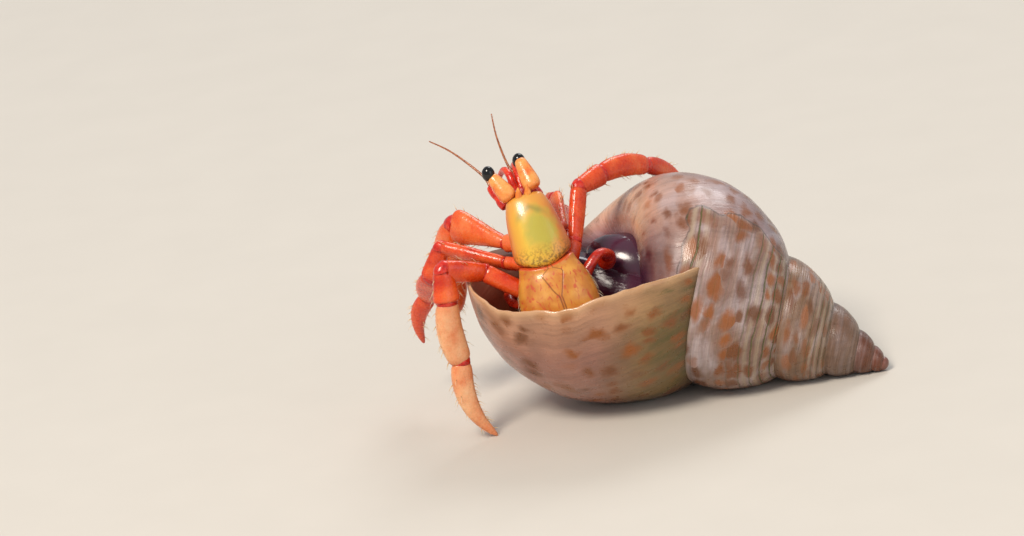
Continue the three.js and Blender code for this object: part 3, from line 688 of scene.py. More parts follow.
def trunk_station(row):
    """Middle, direction, right, up and (half width, back, belly) of the trunk at a row, in mm.
    Rows below 0 lie straight on before the first one."""
    share = max(row, 0) / LAST_ROW
    along = curve_direction(TRUNK_MIDDLE, share)
    right = square_to(curve_point(TRUNK_SIDES, share), along)
    centre = curve_point(TRUNK_MIDDLE, share) + along * min(row, 0) * FRONT_SPACING
    return centre, along, right, along.cross(right), curve_point(TRUNK_SIZES, share)


def trunk_loft(bm, stations, sides, section, shift):
    """A form along the trunk; stations are (row, share of its size), and section shapes each ring."""
    placements = []
    for row, share in stations:
        centre, along, right, up, size = trunk_station(row)
        rotation = Matrix((right, up, -along)).transposed()
        scale = Matrix.Diagonal((size.x * share, size.y * share, size.y * share))
        placements.append(Matrix.Translation(centre + up * shift) @ (rotation @ scale).to_4x4())
    rings = extrude_rings(bm, placements, [row for row, _ in stations], sides, section)
    sideways_layer = bm.verts.layers.float["sideways"]
    begin, full, end = GROOVE_ROWS
    for ring, (row, _), matrix in zip(rings, stations, placements):
        back = matrix.inverted()
        bow = GROOVE_BOW * smooth_step(begin, full, row) * (1 - smooth_step(full, end, row))
        along = trunk_station(row)[1]
        for vert in ring:
            sideways = (back @ vert.co).x
            vert[sideways_layer] = sideways
            vert.co += along * bow * (1 - sideways ** 2)
    return rings


def plate_section(angle):
    """An arched plate whose margins are rounded and whose underside is nearly flat."""
    x, y = math.cos(angle), math.sin(angle)
    if y < 0:
        return x * 0.98, y * 0.12
    return math.copysign(abs(x) ** 0.86, x), y ** 0.92


def belly_section(angle):
    """The round underside below the plates, with a low flat back that they cover."""
    x, y = math.cos(angle), math.sin(angle)
    return (x, y * 0.55) if y > 0 else (x, y)


def build_plates():
    """The head shield, and the thinner carapace behind the groove with its leaf-shaped plate."""
    for name, rows, sides, finish, node in (
        ("head_shield", SHIELD_ROWS, 28, "shield", "shield"),
        ("rear_carapace", CARAPACE_ROWS, 36, "carapace", "posterior_carapace"),
    ):
        bm = bmesh.new()
        trunk_loft(bm, rows, sides, plate_section, PLATE_LIFT)
        finish_piece(bm, name, finish, [node])


def build_skin():
    """One skin for the belly of the trunk and the soft abdomen that reaches into the shell."""
    bm = bmesh.new()
    rings = trunk_loft(bm, SKIN_ROWS, 20, belly_section, -PLATE_LIFT)
    for ring, (row, _) in zip(rings, SKIN_ROWS):
        centre, _, _, up, size = trunk_station(row)
        on_abdomen = row > len(TRUNK) - 0.8
        for vert in ring:
            height = (vert.co - centre).dot(up)
            if height < 0:
                vert.co += up * height * (size.z / size.y - 1)
            elif on_abdomen:
                vert.co += up * height * ABDOMEN_ROUNDING
    finish_piece(bm, "soft_skin", "skin", ["trunk", "abdomen_front", "abdomen_rear"])


def build_tail():
    """The small tail fan that grips the pillar deep in the shell: a middle plate and two hooked pads."""
    points = [spiral_point(*CHAMBER_MIDDLE, lag) for lag in TAIL_TURNS]
    forms = [(points, smooth_stations("tail pad", 0.8, 11), RIGHT_OF_CRAB, 12)]
    for side, size in ((-1, 0.55), (1, 0.4)):
        shift = RIGHT_OF_CRAB * side * 0.35
        pad = [point + shift * (0.5 + share) for share, point in zip((0.2, 0.6, 1.0), points)]
        forms.append((pad, smooth_stations("tail pad", size, 9), RIGHT_OF_CRAB, 10))
    build_forms("tail_fan_pads", forms, "leg", ["tail_fan"])


# ---------------------------------------------------------------- limbs

LIMB_RINGS = 15              # rings and sides of a segment before its surface is smoothed
LIMB_SIDES = 14
BUMP_SIZE = 1.1              # size and height of the bumps on a limb of size 1, in mm
BUMP_HEIGHT = 0.035
SKIN_REACH = 0.07            # share of each segment that the joint skin reaches into


def joints_of(root, pose):
    """The joints of a limb: its root, then the end of each segment."""
    joints = [Vector(root)]
    for length, heading, pitch in pose:
        heading, pitch = math.radians(heading), math.radians(pitch)
        direction = Vector((
            math.cos(pitch) * math.cos(heading), math.cos(pitch) * math.sin(heading), math.sin(pitch)))
        joints.append(joints[-1] + direction * length)
    return joints


def segment_line(start, end, normal, bow):
    """A segment's middle line, bowed by a share of its length."""
    along = end - start
    inwards = along.cross(normal).normalized() * bow * along.length
    middle = start.lerp(end, 0.5) + inwards
    first, second = (place.lerp(middle, 0.5) + inwards * 0.25 for place in (start, end))
    return [start, first, middle, second, end]


def limb_lines(name):
    """A limb's size, segment names, joints, the normal of its plane and each segment's middle line."""
    size, root, names, pose = LIMBS[name]
    joints = joints_of(root, pose)
    normal = (joints[2] - joints[1]).cross(joints[4] - joints[3]).normalized()
    lines = [segment_line(start, end, normal, SEGMENT_BOW.get(part, 0))
             for part, start, end in zip(names, joints, joints[1:])]
    return size, names, joints, normal, lines


def limb_section(angle):
    """A rounded box, a little keeled on its upper edge."""
    x, y = math.cos(angle), math.sin(angle)
    return math.copysign(abs(x) ** 0.9, x), math.copysign(abs(y) ** 0.85, y)


def build_limb(name, random_state):
    """The hard segments of one limb, each its own piece, and the skin that joins them."""
    size, names, joints, normal, lines = limb_lines(name)
    for part, line in zip(names, lines):
        bm = bmesh.new()
        across = normal.cross(line[-1] - line[0]).normalized()
        loft(bm, line, smooth_stations(part, size, LIMB_RINGS), across, LIMB_SIDES, limb_section)
        bm.normal_update()
        roughen(bm.verts, BUMP_SIZE, BUMP_HEIGHT * size, random_state.random() * 40)
        pale = part in ("propodus", "dactyl")
        finish = "pale_leg" if pale and name == "leg_3_left" else name[:name.index("_")]
        finish_piece(bm, f"{part}_of_{name}", finish, [f"{name}_{part}"])
    if names is CLAW_SEGMENTS:
        build_fixed_finger(name, *joints[3:], normal, size)

    forms = []
    for part, before, after in zip(names[1:], lines, lines[1:]):
        _, depth, thickness = SHAPES[part][0]
        middle = [curve_point(before, 1 - SKIN_REACH), after[0], curve_point(after, SKIN_REACH)]
        stations = [(share, depth * size * fold, thickness * size * fold) for share, fold in FOLDS]
        forms.append((middle, stations, normal.cross(middle[2] - middle[0]).normalized(), 12))
    build_forms(f"joint_skin_of_{name}", forms, "skin", levels=1)


def build_fixed_finger(name, start, knuckle, tip, normal, size):
    """The claw's fixed finger: it goes straight on from the palm and curves in to the moving one."""
    along = (knuckle - start).normalized()
    apart = (along - (tip - knuckle).normalized()).normalized() * size
    points = [start.lerp(knuckle, 0.62) + apart * 0.3, knuckle + apart * 0.62,
              knuckle.lerp(tip, 0.55) + apart * 0.66, tip + apart * 0.16]
    stations = smooth_stations("fixed finger", size, 13)
    forms = [(points, stations, normal.cross(along).normalized(), 12, limb_section)]
    build_forms(f"fixed_finger_of_{name}", forms, "claw")


def build_limbs(kind, random_state):
    """All limbs of one kind."""
    for name in LIMBS:
        if name.startswith(kind):
            build_limb(name, random_state)


def build_small_leg(name):
    """A hind leg: one slender bent piece, thickened towards its end, with a small claw tip."""
    radius, root, pose = SMALL_LEGS[name]
    forms = [(joints_of(root, pose), smooth_stations("hind leg", radius, 17), RIGHT_OF_CRAB, 12)]
    build_forms(f"hind_{name}", forms, "hind_leg", [name])


# ---------------------------------------------------------------- head


def build_head_part(part, side):
    """One of the round parts of the head that are made alike."""
    points = HEAD[side][part]
    if part == "stalk":
        base, tip = (Vector(point) for point in points)
        points = (base, tip + (tip - base) * HEAD[side]["stalk_overlap"])
    name, size, count, sides, finish, node, slot = HEAD_PARTS[part]
    forms = [(points, smooth_stations(part, size, count), RIGHT_OF_CRAB, sides)]
    build_forms(name.format(side), forms, finish, [f"{node}_{side}"])


def build_eye(side, settings):
    """An eyestalk with its black cornea set over the tip, and the small scale at its foot."""
    build_head_part("stalk", side)
    bm = bmesh.new()
    radius = settings.cornea_radius / MM
    scale = Matrix.Diagonal((radius, radius, radius * CORNEA_STRETCH, 1))
    matrix = Matrix.Translation(HEAD[side]["cornea"]) @ scale
    bmesh.ops.create_uvsphere(bm, u_segments=24, v_segments=16, radius=1, matrix=matrix)
    finish_piece(bm, f"cornea_of_{side}_eye", "cornea", [f"cornea_{side}"], 1)
    build_head_part("scale", side)


def build_feelers(side):
    """The long and short feelers with their ringed whips, and the outer mouth leg."""
    build_head_part("base", side)
    for feeler, (radius, end, finish, slot) in WHIPS.items():
        stations = []
        for k, share in enumerate(evenly(0, 1, WHIP_RINGS)):
            width = radius * (1 - (1 - end) * share) * (1.12 if k % 2 else 0.94)
            stations.append((share, width, width))
        forms = [(HEAD[side][feeler], stations, RIGHT_OF_CRAB, 8)]
        build_forms(f"{feeler}_of_{side}_side", forms, finish, [f"{feeler}_{side}"], 1)
    build_head_part("mouth_leg", side)


# ---------------------------------------------------------------- bristles

BRISTLE_START = 0.12         # bristles begin at this share of a segment's length, and cover BRISTLE_SPAN
BRISTLE_SPAN = 0.84
EDGE_SPREAD = 0.35           # how far they stray round the limb from its two edges, in radians
BRISTLE_ROOT = 0.95          # depth of their roots, as a share of the limb's thickness
LIMB_LEAN = 0.7              # how much they lean along a limb, and along the back
BACK_LEAN = 0.9
SHIELD_TUFTS = 22            # bristles on the shield's hind edge, from this angle over this width
SHIELD_ARC = (0.35, 2.44)
CARAPACE_TUFTS = 16          # bristles on each side of the rear carapace, from this row over this length
CARAPACE_REACH = (3.9, 2.7)
CARAPACE_ANGLE = 0.12        # their angle above the margin


def grow_bristle(bm, root, out, along, lean, length):
    """One bristle: a thin cone of four sides that leans and bends over towards the limb's tip."""
    direction = (out + along * lean).normalized()
    sideways = direction.cross(along)
    if sideways.length < 1e-3:
        sideways = direction.orthogonal()
    shares = (0.0, 0.4, 0.75, 1.0)
    placements = []
    for share in shares:
        centre = root + direction * length * share + along * length * 0.5 * share ** 2
        heading = (direction + along * share).normalized()
        width = BRISTLE_RADIUS * (1 - 0.8 * share)
        placements.append(ring_placement(centre, heading, sideways, width, width))
    extrude_rings(bm, placements, shares, 4)


def build_bristles(name, random_state, settings):
    """Rows of short pale bristles along the two edges of a limb's outer segments."""
    size, names, _, normal, lines = limb_lines(name)
    bm = bmesh.new()
    for part, line in zip(names[1:], lines[1:]):
        for _ in range(round((line[-1] - line[0]).length * settings.bristles_per_mm)):
            share = BRISTLE_START + BRISTLE_SPAN * random_state.random()
            _, depth, thickness = shape_row(part, share)
            along = curve_direction(line, share)
            across = normal.cross(along).normalized()
            x, y = limb_section(random_state.choice((0, math.pi)) + random_state.gauss(0, EDGE_SPREAD))
            out = (across * x + along.cross(across) * y).normalized()
            reach = (across * x * depth + along.cross(across) * y * thickness) * size * BRISTLE_ROOT
            length = settings.bristle_length / MM * random_state.uniform(0.6, 1.2)
            grow_bristle(bm, curve_point(line, share) + reach, out, along, LIMB_LEAN, length)
    finish_piece(bm, f"bristles_of_{name}", "bristle", levels=0)


def build_back_bristles(random_state, settings):
    """Bristles along the hind edge of the head shield and the sides of the rear carapace."""
    bm = bmesh.new()
    places = [(SHIELD_EDGE, angle) for angle in evenly(*SHIELD_ARC, SHIELD_TUFTS)]
    for row in evenly(*CARAPACE_REACH, CARAPACE_TUFTS):
        places += [(row, angle) for angle in (CARAPACE_ANGLE, math.pi - CARAPACE_ANGLE)]
    for row, angle in places:
        row += random_state.uniform(-0.05, 0.05)
        angle += random_state.uniform(-0.08, 0.08)
        centre, along, right, up, size = trunk_station(row)
        x, y = plate_section(angle)
        reach = 0.72 if row < SHIELD_EDGE + 0.15 else 0.97
        root = centre + right * x * size.x * reach + up * y * size.y * reach
        length = settings.bristle_length / MM * random_state.uniform(0.5, 1.1)
        grow_bristle(bm, root, (right * x + up * y).normalized(), along, BACK_LEAN, length)
    finish_piece(bm, "bristles_of_back", "bristle", levels=0)


# ---------------------------------------------------------------- look of the snail shell


def shell_places(add):
    """What the markings are laid out by: turns back from the lip, place across the whorl, outer or
    inner side, age behind the mended break, length along the spiral, and two noises."""
    names = ("turn", "across", "inner", "age", "run")
    at = SimpleNamespace(**{name: add("Attribute", attribute_name=name, output=2) for name in names})
    where = add("TexCoord", output=3)
    at.cloud = add("TexNoise", Vector=where, Scale=per_mm(2.4), Detail=4.0)
    at.grain = add("TexNoise", Vector=where, Scale=per_mm(0.45), Detail=4.0)
    at.patches = add("MapRange", at.grain, 0.32, 0.5, 0.35, 1)
    at.spire = add("Math", at.turn, 0.2, operation="MULTIPLY")
    at.dome = add("MapRange", at.turn, 0.2, 0.4)
    # The old shell lies behind the mended break.
    at.edge = add("Math", at.grain, 4.0, at.age, operation="MULTIPLY_ADD")
    at.old = add("MapRange", at.edge, 1.4, 2.6)
    # Markings are drawn out along the spiral or across it by scaling their place on each.
    spread = add("CombineXYZ", at.run, at.across)
    at.flames, at.growth, at.threads, at.streaks = (
        add("VectorMath", spread, (*scales, 0), operation="MULTIPLY")
        for scales in ((24, 13), (170, 4), (9, 110), (60, 7)))
    return at


def shell_ground(add, at):
    """Ground colours, by the place across the whorl near the lip and by age on the spire."""
    # Across the lip's sheet: olive near the suture, partly its own tint and partly painted shade, then
    # pinkish tan towards the base.
    lip = add("ValToRGB", at.across, stops={
        0.0: "#584420", 0.07: "#6E5628", 0.16: "#8A6A42", 0.28: "#9A6C5C", 0.5: "#A47060", 0.8: "#96685C"})
    fresh = add("MapRange", at.turn, 0.07, 0.01, 0, 0.5)
    lip = add("Mix", fresh, lip, "#C49468", data_type="RGBA")
    dome = add("ValToRGB", at.across, stops={
        0.0: "#745850", 0.2: "#8C7270", 0.42: "#9C7E78", 0.6: "#AA8678", 0.7: "#BC9480", 0.8: "#CEA27E",
        0.88: "#C69A86", 0.94: "#A07078", 1.0: "#4A2438"})
    young = add("Mix", at.dome, lip, dome, data_type="RGBA")
    old = add("ValToRGB", at.spire, stops={
        0.16: "#8C6C60", 0.28: "#866656", 0.36: "#806048", 0.5: "#76543E", 0.62: "#6A4E3C", 0.76: "#5E3018",
        1.0: "#6C341A"})
    ground = add("Mix", at.old, young, old, data_type="RGBA")
    return add("VectorMath", ground, add("MapRange", at.cloud, 0.3, 0.7, 0.8, 1.18), operation="SCALE")


def shell_lines(add, at, colour):
    """Pale flames on the old whorls, partly worn shell and partly a painted sheen, growth lines parallel to
    the lip, and fine spiral threads that cover the old whorls between the deeper grooves. Returns the colour
    and the height of the lines."""
    flames = add("TexNoise", Vector=at.flames, Scale=0.8, Detail=3.0, Distortion=0.4)
    # Pale lilac flames drawn out along the spiral: partly worn shell, partly a painted sheen.
    pale_flames_and_sheen = add("MapRange", flames, 0.46, 0.72, 0, 0.7)
    pale = add("Math", at.old, add("Math", at.dome, 0.55, operation="MULTIPLY"), operation="MAXIMUM")
    for share in (add("MapRange", at.turn, 2.6, 1.3, 0.3, 1), pale):
        pale_flames_and_sheen = add("Math", pale_flames_and_sheen, share, operation="MULTIPLY")
    colour = add("Mix", pale_flames_and_sheen, colour, "#C6B8BC", data_type="RGBA")

    growth = add("TexNoise", Vector=at.growth, Scale=1.0, Detail=5.0, Roughness=0.6)
    threads = add("TexNoise", Vector=at.threads, Scale=1.0, Detail=3.0)
    thread_shade = add("Mix", at.old, 1.0, add("MapRange", threads, 0.3, 0.7, 0.84, 1.14))
    for shade in (add("MapRange", growth, 0.34, 0.56, 0.84, 1.04), thread_shade):
        colour = add("VectorMath", colour, shade, operation="SCALE")
    return colour, add("Mix", at.old, growth, threads)


def shell_spots(add, at, settings):
    """Rust-brown spots in rows along the spiral, leaning into slanting columns: their mask and colour."""
    slant = add("Math", at.across, 4.5, operation="MULTIPLY")
    column = add("Math", at.run, settings.spots_per_turn, slant, operation="MULTIPLY_ADD")
    row = add("Math", at.across, settings.spot_rows, operation="MULTIPLY")
    place = add("CombineXYZ", column, row)
    bend = add("TexNoise", Vector=at.flames, Scale=0.9, output=1)
    bent = add("VectorMath", bend, (1.3, 1.0, 0.0), place, operation="MULTIPLY_ADD")
    girth = add("TexVoronoi", Vector=bent, Scale=1.0, Randomness=0.75, voronoi_dimensions="2D")
    lot = add("SeparateColor", girth.node.outputs["Color"]).node.outputs
    for source, amount in ((lot["Blue"], 0.2), (at.grain, 0.34), (at.old, -0.1)):
        girth = add("Math", source, amount, girth, operation="MULTIPLY_ADD")
    spot = add("MapRange", girth, 0.74, 0.32, interpolation_type="SMOOTHSTEP")
    strength = add("ValToRGB", at.spire, stops=grey_stops({
        0.0: 0.95, 0.05: 0.9, 0.1: 0.65, 0.16: 0.85, 0.27: 1.0, 0.36: 0.75, 0.5: 0.5, 0.6: 0.0}))
    present = add("MapRange", lot["Red"], 0.1, 0.35)
    off_base = add("MapRange", at.across, 0.92, 0.8)
    for share in (present, strength, off_base):
        spot = add("Math", spot, share, operation="MULTIPLY")
    return spot, add("Mix", lot["Green"], settings.spot_colour, "#66360C", data_type="RGBA")


def shell_grooves(add, at, settings, spot):
    """Spiral grooves, closest below each suture, with pale cords between them and algae inside."""
    wander = add("Math", at.cloud, 0.7, operation="MULTIPLY")
    rank = add("Math", at.across, settings.grooves, wander, operation="MULTIPLY_ADD")
    wave = add("Math", rank, 0.5, operation="PINGPONG")
    groove = add("MapRange", wave, 0.1, 0.02)
    cord = add("MapRange", wave, 0.2, 0.42)
    zone = add("ValToRGB", at.across, stops=grey_stops({
        0.0: 1.0, 0.05: 1.0, 0.17: 0.85, 0.24: 0.2, 0.42: 0.12, 0.46: 0.85, 0.53: 1.0}))
    for share in (zone, add("MapRange", at.turn, 1.7, 2.9, 1.0, 0.2), at.old):
        groove, cord = (add("Math", mask, share, operation="MULTIPLY") for mask in (groove, cord))
    for share in (add("Math", 1.0, spot, operation="SUBTRACT"), 0.45):
        cord = add("Math", cord, share, operation="MULTIPLY")
    return groove, cord, add("Math", groove, at.patches, operation="MULTIPLY")


def shell_stains(add, at):
    """Algae in slanting streaks on the newest shell near its suture, and darker brown in the sutures and in
    patches along the mended break."""
    streaks = add("TexNoise", Vector=at.streaks, Scale=1.0, Detail=5.0, Roughness=0.7)
    streaks = add("MapRange", streaks, 0.5, 0.62, 0, 0.8)
    for share in (add("MapRange", at.across, 0.24, 0.06), add("MapRange", at.turn, 0.35, 0.2)):
        streaks = add("Math", streaks, share, operation="MULTIPLY")
    from_edge = add("Math", add("Math", at.edge, 1.4, operation="SUBTRACT"), operation="ABSOLUTE")
    crack = add("Math", add("MapRange", from_edge, 1.3, 0.3, 0, 0.6), at.patches, operation="MULTIPLY")
    # A dark brown band along the sutures.
    seam = add("MapRange", at.across, 0.022, 0.0, 0, 0.8)
    return streaks, add("Math", seam, crack, operation="MAXIMUM")


def shell_mouth(add, at):
    """The dark glaze of the inner lip, its violet, the inside of the mouth with painted light near the lip
    and painted shade deeper in, and the pale rim.
    """
    deep, base, middle = (
        add("MapRange", source, low, high, interpolation_type="SMOOTHSTEP")
        for source, low, high in ((at.turn, 0.72, 0.9), (at.across, 0.46, 0.74), (at.across, 0.91, 1.0)))
    glaze = add("Math", add("Math", deep, base, operation="MULTIPLY"), middle, operation="MAXIMUM")
    violet = add("Mix", at.cloud, "#160810", "#5C3048", data_type="RGBA")
    # Inside of the mouth: pale near the lip as painted light, darker further in, partly its own dark colour
    # and partly painted shade of the deep whorl.
    lit_and_shaded_inside = add("ValToRGB", at.turn, stops={
        0.0: "#E4BC98", 0.01: "#E2B094", 0.06: "#DCA284", 0.14: "#D68C64", 0.26: "#A86048", 0.4: "#54282A",
        1.0: "#1A0A10"})
    beyond = add("MapRange", at.across, 0.8, 0.95)
    lit_and_shaded_inside = add("Mix", beyond, lit_and_shaded_inside, violet, data_type="RGBA")
    outside = add("Math", 1.0, beyond, operation="SUBTRACT")
    rim = add("Math", add("MapRange", at.turn, 0.012, 0.001, 0, 0.6), outside, operation="MULTIPLY")
    return glaze, violet, lit_and_shaded_inside, rim


def periwinkle_shell(settings):
    """Periwinkle shell: aragonite laid down in growth lines, worn satin, glazed dark inside its mouth.
    Rust-brown spots are stained into it, and algae live in the spiral grooves of the old whorls. The inside
    of the mouth carries painted light near the lip and painted shade deeper in."""
    material, add = new_material("Periwinkle shell", 0.3, coat=0.18)
    at = shell_places(add)
    colour, relief = shell_lines(add, at, shell_ground(add, at))
    spot, rust = shell_spots(add, at, settings)
    groove, cord, algae = shell_grooves(add, at, settings, spot)
    streaks, seam_darkening = shell_stains(add, at)
    glaze, violet, lit_and_shaded_inside, rim = shell_mouth(add, at)
    for share, paint in (
        (spot, rust), (cord, "#BCAA8C"), (algae, "#4A4E10"), (streaks, "#54501A"), (seam_darkening, "#2E2614"),
        (glaze, violet), (at.inner, lit_and_shaded_inside), (rim, "#D8AC80"),
    ):
        colour = add("Mix", share, colour, paint, data_type="RGBA")
    worn = add("MapRange", at.grain, 0.3, 0.7, 0.24, 0.42)
    rough = add("Mix", add("Math", glaze, at.inner, operation="MAXIMUM"), worn, 0.2)
    for source, amount in ((groove, -0.9), (at.grain, 0.2)):
        relief = add("Math", source, amount, relief, operation="MULTIPLY_ADD")
    bump = add("Bump", Height=relief, Distance=0.07 * MM, Strength=0.7)
    return drive_shader(material, Base_Color=colour, Roughness=rough, Normal=bump)


# ---------------------------------------------------------------- looks of the animal


def wet_chitin(name, deep, plain, light, mottle, joint_shade):
    """Wet crustacean shell: chitin hardened with chalk, moulted smooth, glossy under a film of water.
    Pigment lies in patches, and it is deeper where a segment meets the next one."""
    material, add = new_material(name, 0.32, coat=0.22, glow=0.12)
    where = add("TexCoord", output=3)
    patches = add("TexNoise", Vector=where, Scale=per_mm(mottle), Detail=4.0, Roughness=0.6)
    pigment = add("ValToRGB", patches, stops={0.28: deep, 0.5: plain, 0.72: light})
    along = add("Attribute", attribute_name="along", output=2)
    ends = add("ValToRGB", along, stops=grey_stops({0.0: 1, 0.1: 0.35, 0.3: 0, 0.8: 0, 0.93: 0.4, 1.0: 1}))
    ends = add("Math", ends, joint_shade, operation="MULTIPLY")
    colour = add("Mix", ends, pigment, deep, data_type="RGBA")
    pores = add("TexVoronoi", Vector=where, Scale=per_mm(0.16))
    colour = add("VectorMath", colour, add("MapRange", pores, 0.05, 0.3, 0.82, 1.0), operation="SCALE")
    grain = add("TexNoise", Vector=where, Scale=per_mm(0.22), Detail=3.0)
    rough = add("MapRange", grain, 0.3, 0.7, 0.2, 0.36)
    height = add("Math", grain, 0.6, pores, operation="MULTIPLY_ADD")
    bump = add("Bump", Height=height, Distance=0.03 * MM, Strength=0.45)
    return drive_shader(material, Base_Color=colour, Roughness=rough, Normal=bump)


def head_shield():
    """Head shield: hard wet chitin, orange at its margins and yellow-green in the middle, where the gut shows
    through, with dark specks along its hind edge. Across it, the yellow on the crab's left and the darker
    orange on its right are partly its own colour and partly painted light and painted shade."""
    material, add = new_material("Head shield chitin", 0.3, coat=0.35, glow=0.1)
    where = add("TexCoord", output=3)
    row, sideways = (add("Attribute", attribute_name=name, output=2) for name in ("along", "sideways"))
    cloud = add("TexNoise", Vector=where, Scale=per_mm(0.9), Detail=4.0)
    width = add("Math", sideways, 0.5, 0.5, operation="MULTIPLY_ADD")
    # Across the shield: orange margins, lighter yellow towards the crab's left as painted light, and darker
    # orange towards its right as painted shade, over its own tint.
    colour = add("ValToRGB", width, stops={
        0.0: "#D8702C", 0.1: "#E2A038", 0.28: "#E2B83E", 0.6: "#DCAA3C", 0.85: "#D08434", 1.0: "#C86028"})

    # Distance from the middle of the yellow-green patch, in rows and half widths.
    patch_side = add("Math", sideways, 1.08, -0.2, operation="MULTIPLY_ADD")
    patch_row = add("Math", row, 0.66, -1.16, operation="MULTIPLY_ADD")
    reach = add("VectorMath", add("CombineXYZ", patch_side, patch_row), operation="LENGTH")
    reach = add("Math", cloud, 0.8, reach, operation="MULTIPLY_ADD")

    # A dark bow lies across the front of the patch.
    bow_row = add("Math", sideways, sideways, operation="MULTIPLY")
    bow_row = add("Math", bow_row, -0.9, row, operation="MULTIPLY_ADD")
    bow_row = add("Math", cloud, 0.5, bow_row, operation="MULTIPLY_ADD")
    from_bow = add("Math", add("Math", bow_row, 0.95, operation="SUBTRACT"), operation="ABSOLUTE")
    within = add("MapRange", add("Math", sideways, operation="ABSOLUTE"), 0.7, 0.4)
    bow = add("Math", add("MapRange", from_bow, 0.3, 0.05, 0, 0.65), within, operation="MULTIPLY")

    speckle = add("TexNoise", Vector=where, Scale=per_mm(0.17), Detail=3.0)
    specks = add("MapRange", speckle, 0.46, 0.58)
    for share in (add("MapRange", row, 2.3, 3.2), 0.75):
        specks = add("Math", specks, share, operation="MULTIPLY")
    front = add("MapRange", row, 1.1, 0.3, 0, 0.7)
    green = add("MapRange", reach, 1.2, 0.8, 0, 0.85)
    margin = add("MapRange", row, 3.47, 3.59, 0, 0.85)
    for share, paint in (
        (front, "#DE9A44"), (green, "#B2AA42"), (bow, "#8A8440"), (specks, "#6E4A20"), (margin, "#C83A18"),
    ):
        colour = add("Mix", share, colour, paint, data_type="RGBA")
    bump = add("Bump", Height=cloud, Distance=0.08 * MM, Strength=0.35)
    return drive_shader(material, Base_Color=colour, Normal=bump)


def rear_carapace():
    """Rear carapace: thin wet chitin, bending like skin, cut into plates by fine brown lines and
    streaked with red pigment."""
    material, add = new_material("Thin rear carapace", 0.34, coat=0.3, glow=0.15)
    row, sideways = (add("Attribute", attribute_name=name, output=2) for name in ("along", "sideways"))
    cloud = add("TexNoise", Vector=add("TexCoord", output=3), Scale=per_mm(1.2), Detail=4.0)
    colour = add("ValToRGB", cloud, stops={0.3: "#C07026", 0.5: "#D28832", 0.7: "#E0A044"})
    streak_place = add("VectorMath", add("CombineXYZ", sideways, row), (6.0, 1.6, 0), operation="MULTIPLY")
    streaks = add("TexNoise", Vector=streak_place, Scale=1.6, Detail=3.0, Distortion=0.6)

    # The leaf-shaped middle plate: its outline is where sideways meets a half width that swells
    # and narrows along the rows.
    rise = add("MapRange", row, 3.8, 4.4, 0.08, 0.32)
    fall = add("MapRange", row, 4.6, 6.1, 0.32, 0.03)
    leaf = add("Math", rise, fall, operation="MINIMUM")
    out = add("Math", add("Math", sideways, 0.06, operation="SUBTRACT"), operation="ABSOLUTE")
    from_line = add("Math", add("Math", out, leaf, operation="SUBTRACT"), operation="ABSOLUTE")
    line = add("Math", add("MapRange", from_line, 0.028, 0.008), 0.8, operation="MULTIPLY")
    margin = add("MapRange", row, 3.74, 3.62, 0, 0.85)
    red = add("MapRange", streaks, 0.54, 0.66, 0, 0.75)
    for share, paint in ((margin, "#CC4420"), (red, "#C8402A"), (line, "#8A4A1C")):
        colour = add("Mix", share, colour, paint, data_type="RGBA")
    height = add("Math", line, -0.8, cloud, operation="MULTIPLY_ADD")
    bump = add("Bump", Height=height, Distance=0.08 * MM, Strength=0.5)
    return drive_shader(material, Base_Color=colour, Normal=bump)


def black_cornea():
    """Cornea: clear cuticle over black pigment, polished smooth by water."""
    material, add = new_material("Black cornea", 0.08, coat=0.2)
    facets = add("TexVoronoi", Vector=add("TexCoord", output=3), Scale=per_mm(0.05))
    colour = add("ValToRGB", facets, stops={0.0: "#140E0C", 0.6: "#060404"})
    return drive_shader(material, Base_Color=colour)


def pale_bristle():
    """Bristle: clear horn-coloured chitin, a hollow hair that lets light through at its tip."""
    material, add = new_material("Pale bristle chitin", 0.4, coat=0.2, glow=0.3)
    along = add("Attribute", attribute_name="along", output=2)
    colour = add("ValToRGB", along, stops={0.0: "#C8783C", 0.4: "#E6BE88", 1.0: "#F4E4C8"})
    return drive_shader(material, Base_Color=colour)


def pale_floor(settings):
    """Floor: a matt painted board, plain, with the faintest tooth of the paint."""
    material, add = new_material("Painted board", 0.85)
    tooth = add("TexNoise", Vector=add("TexCoord", output=3), Scale=per_mm(6), Detail=2.0)
    plain = Vector(settings.floor_colour)
    colour = add("ValToRGB", tooth, stops={0.3: plain * 0.99, 0.7: plain * 1.01})
    return drive_shader(material, Base_Color=colour)


def make_materials():
    """All finishes of the animal and its shell."""
    crab = bpy.context.scene.crab_body
    made = {
        "shell": periwinkle_shell(bpy.context.scene.crab_shell), "shield": head_shield(),
        "carapace": rear_carapace(), "cornea": black_cornea(), "bristle": pale_bristle(),
    }
    # Chitin by what it covers: key, name, deep, plain and light pigment, patch size in mm, joint shade.
    for key, *look in (
        ("leg", "Orange-red leg chitin", "#BE2208", crab.leg_colour, "#EE7034", 1.8, 0.6),
        ("claw", "Orange claw chitin", "#CE3C10", "#E8642A", "#F2884A", 1.8, 0.5),
        ("pale_leg", "Peach leg chitin", "#E07E4A", crab.leg_tip_colour, "#F2BC8C", 1.3, 0.7),
        ("hind_leg", "Hind leg chitin", "#860E04", "#B42008", "#D04018", 0.6, 0.3),
        ("stalk", "Eyestalk chitin", "#DC5A20", "#F0984A", "#F6B468", 1.4, 0.6),
        ("scale", "Eye scale chitin", "#D85A1C", "#EC8C34", "#F4A848", 0.6, 0.3),
        ("skin", "Joint skin", "#8A0E06", "#C81E0C", "#DE4422", 0.6, 0.2),
        ("feeler_base", "Feeler chitin", "#B01604", "#D8280A", "#EC5A26", 0.5, 0.4),
        ("whip", "Feeler whip", "#6A3418", "#9C5A30", "#BC7A44", 0.3, 0.2),
    ):
        made[key] = wet_chitin(*look)
    return made


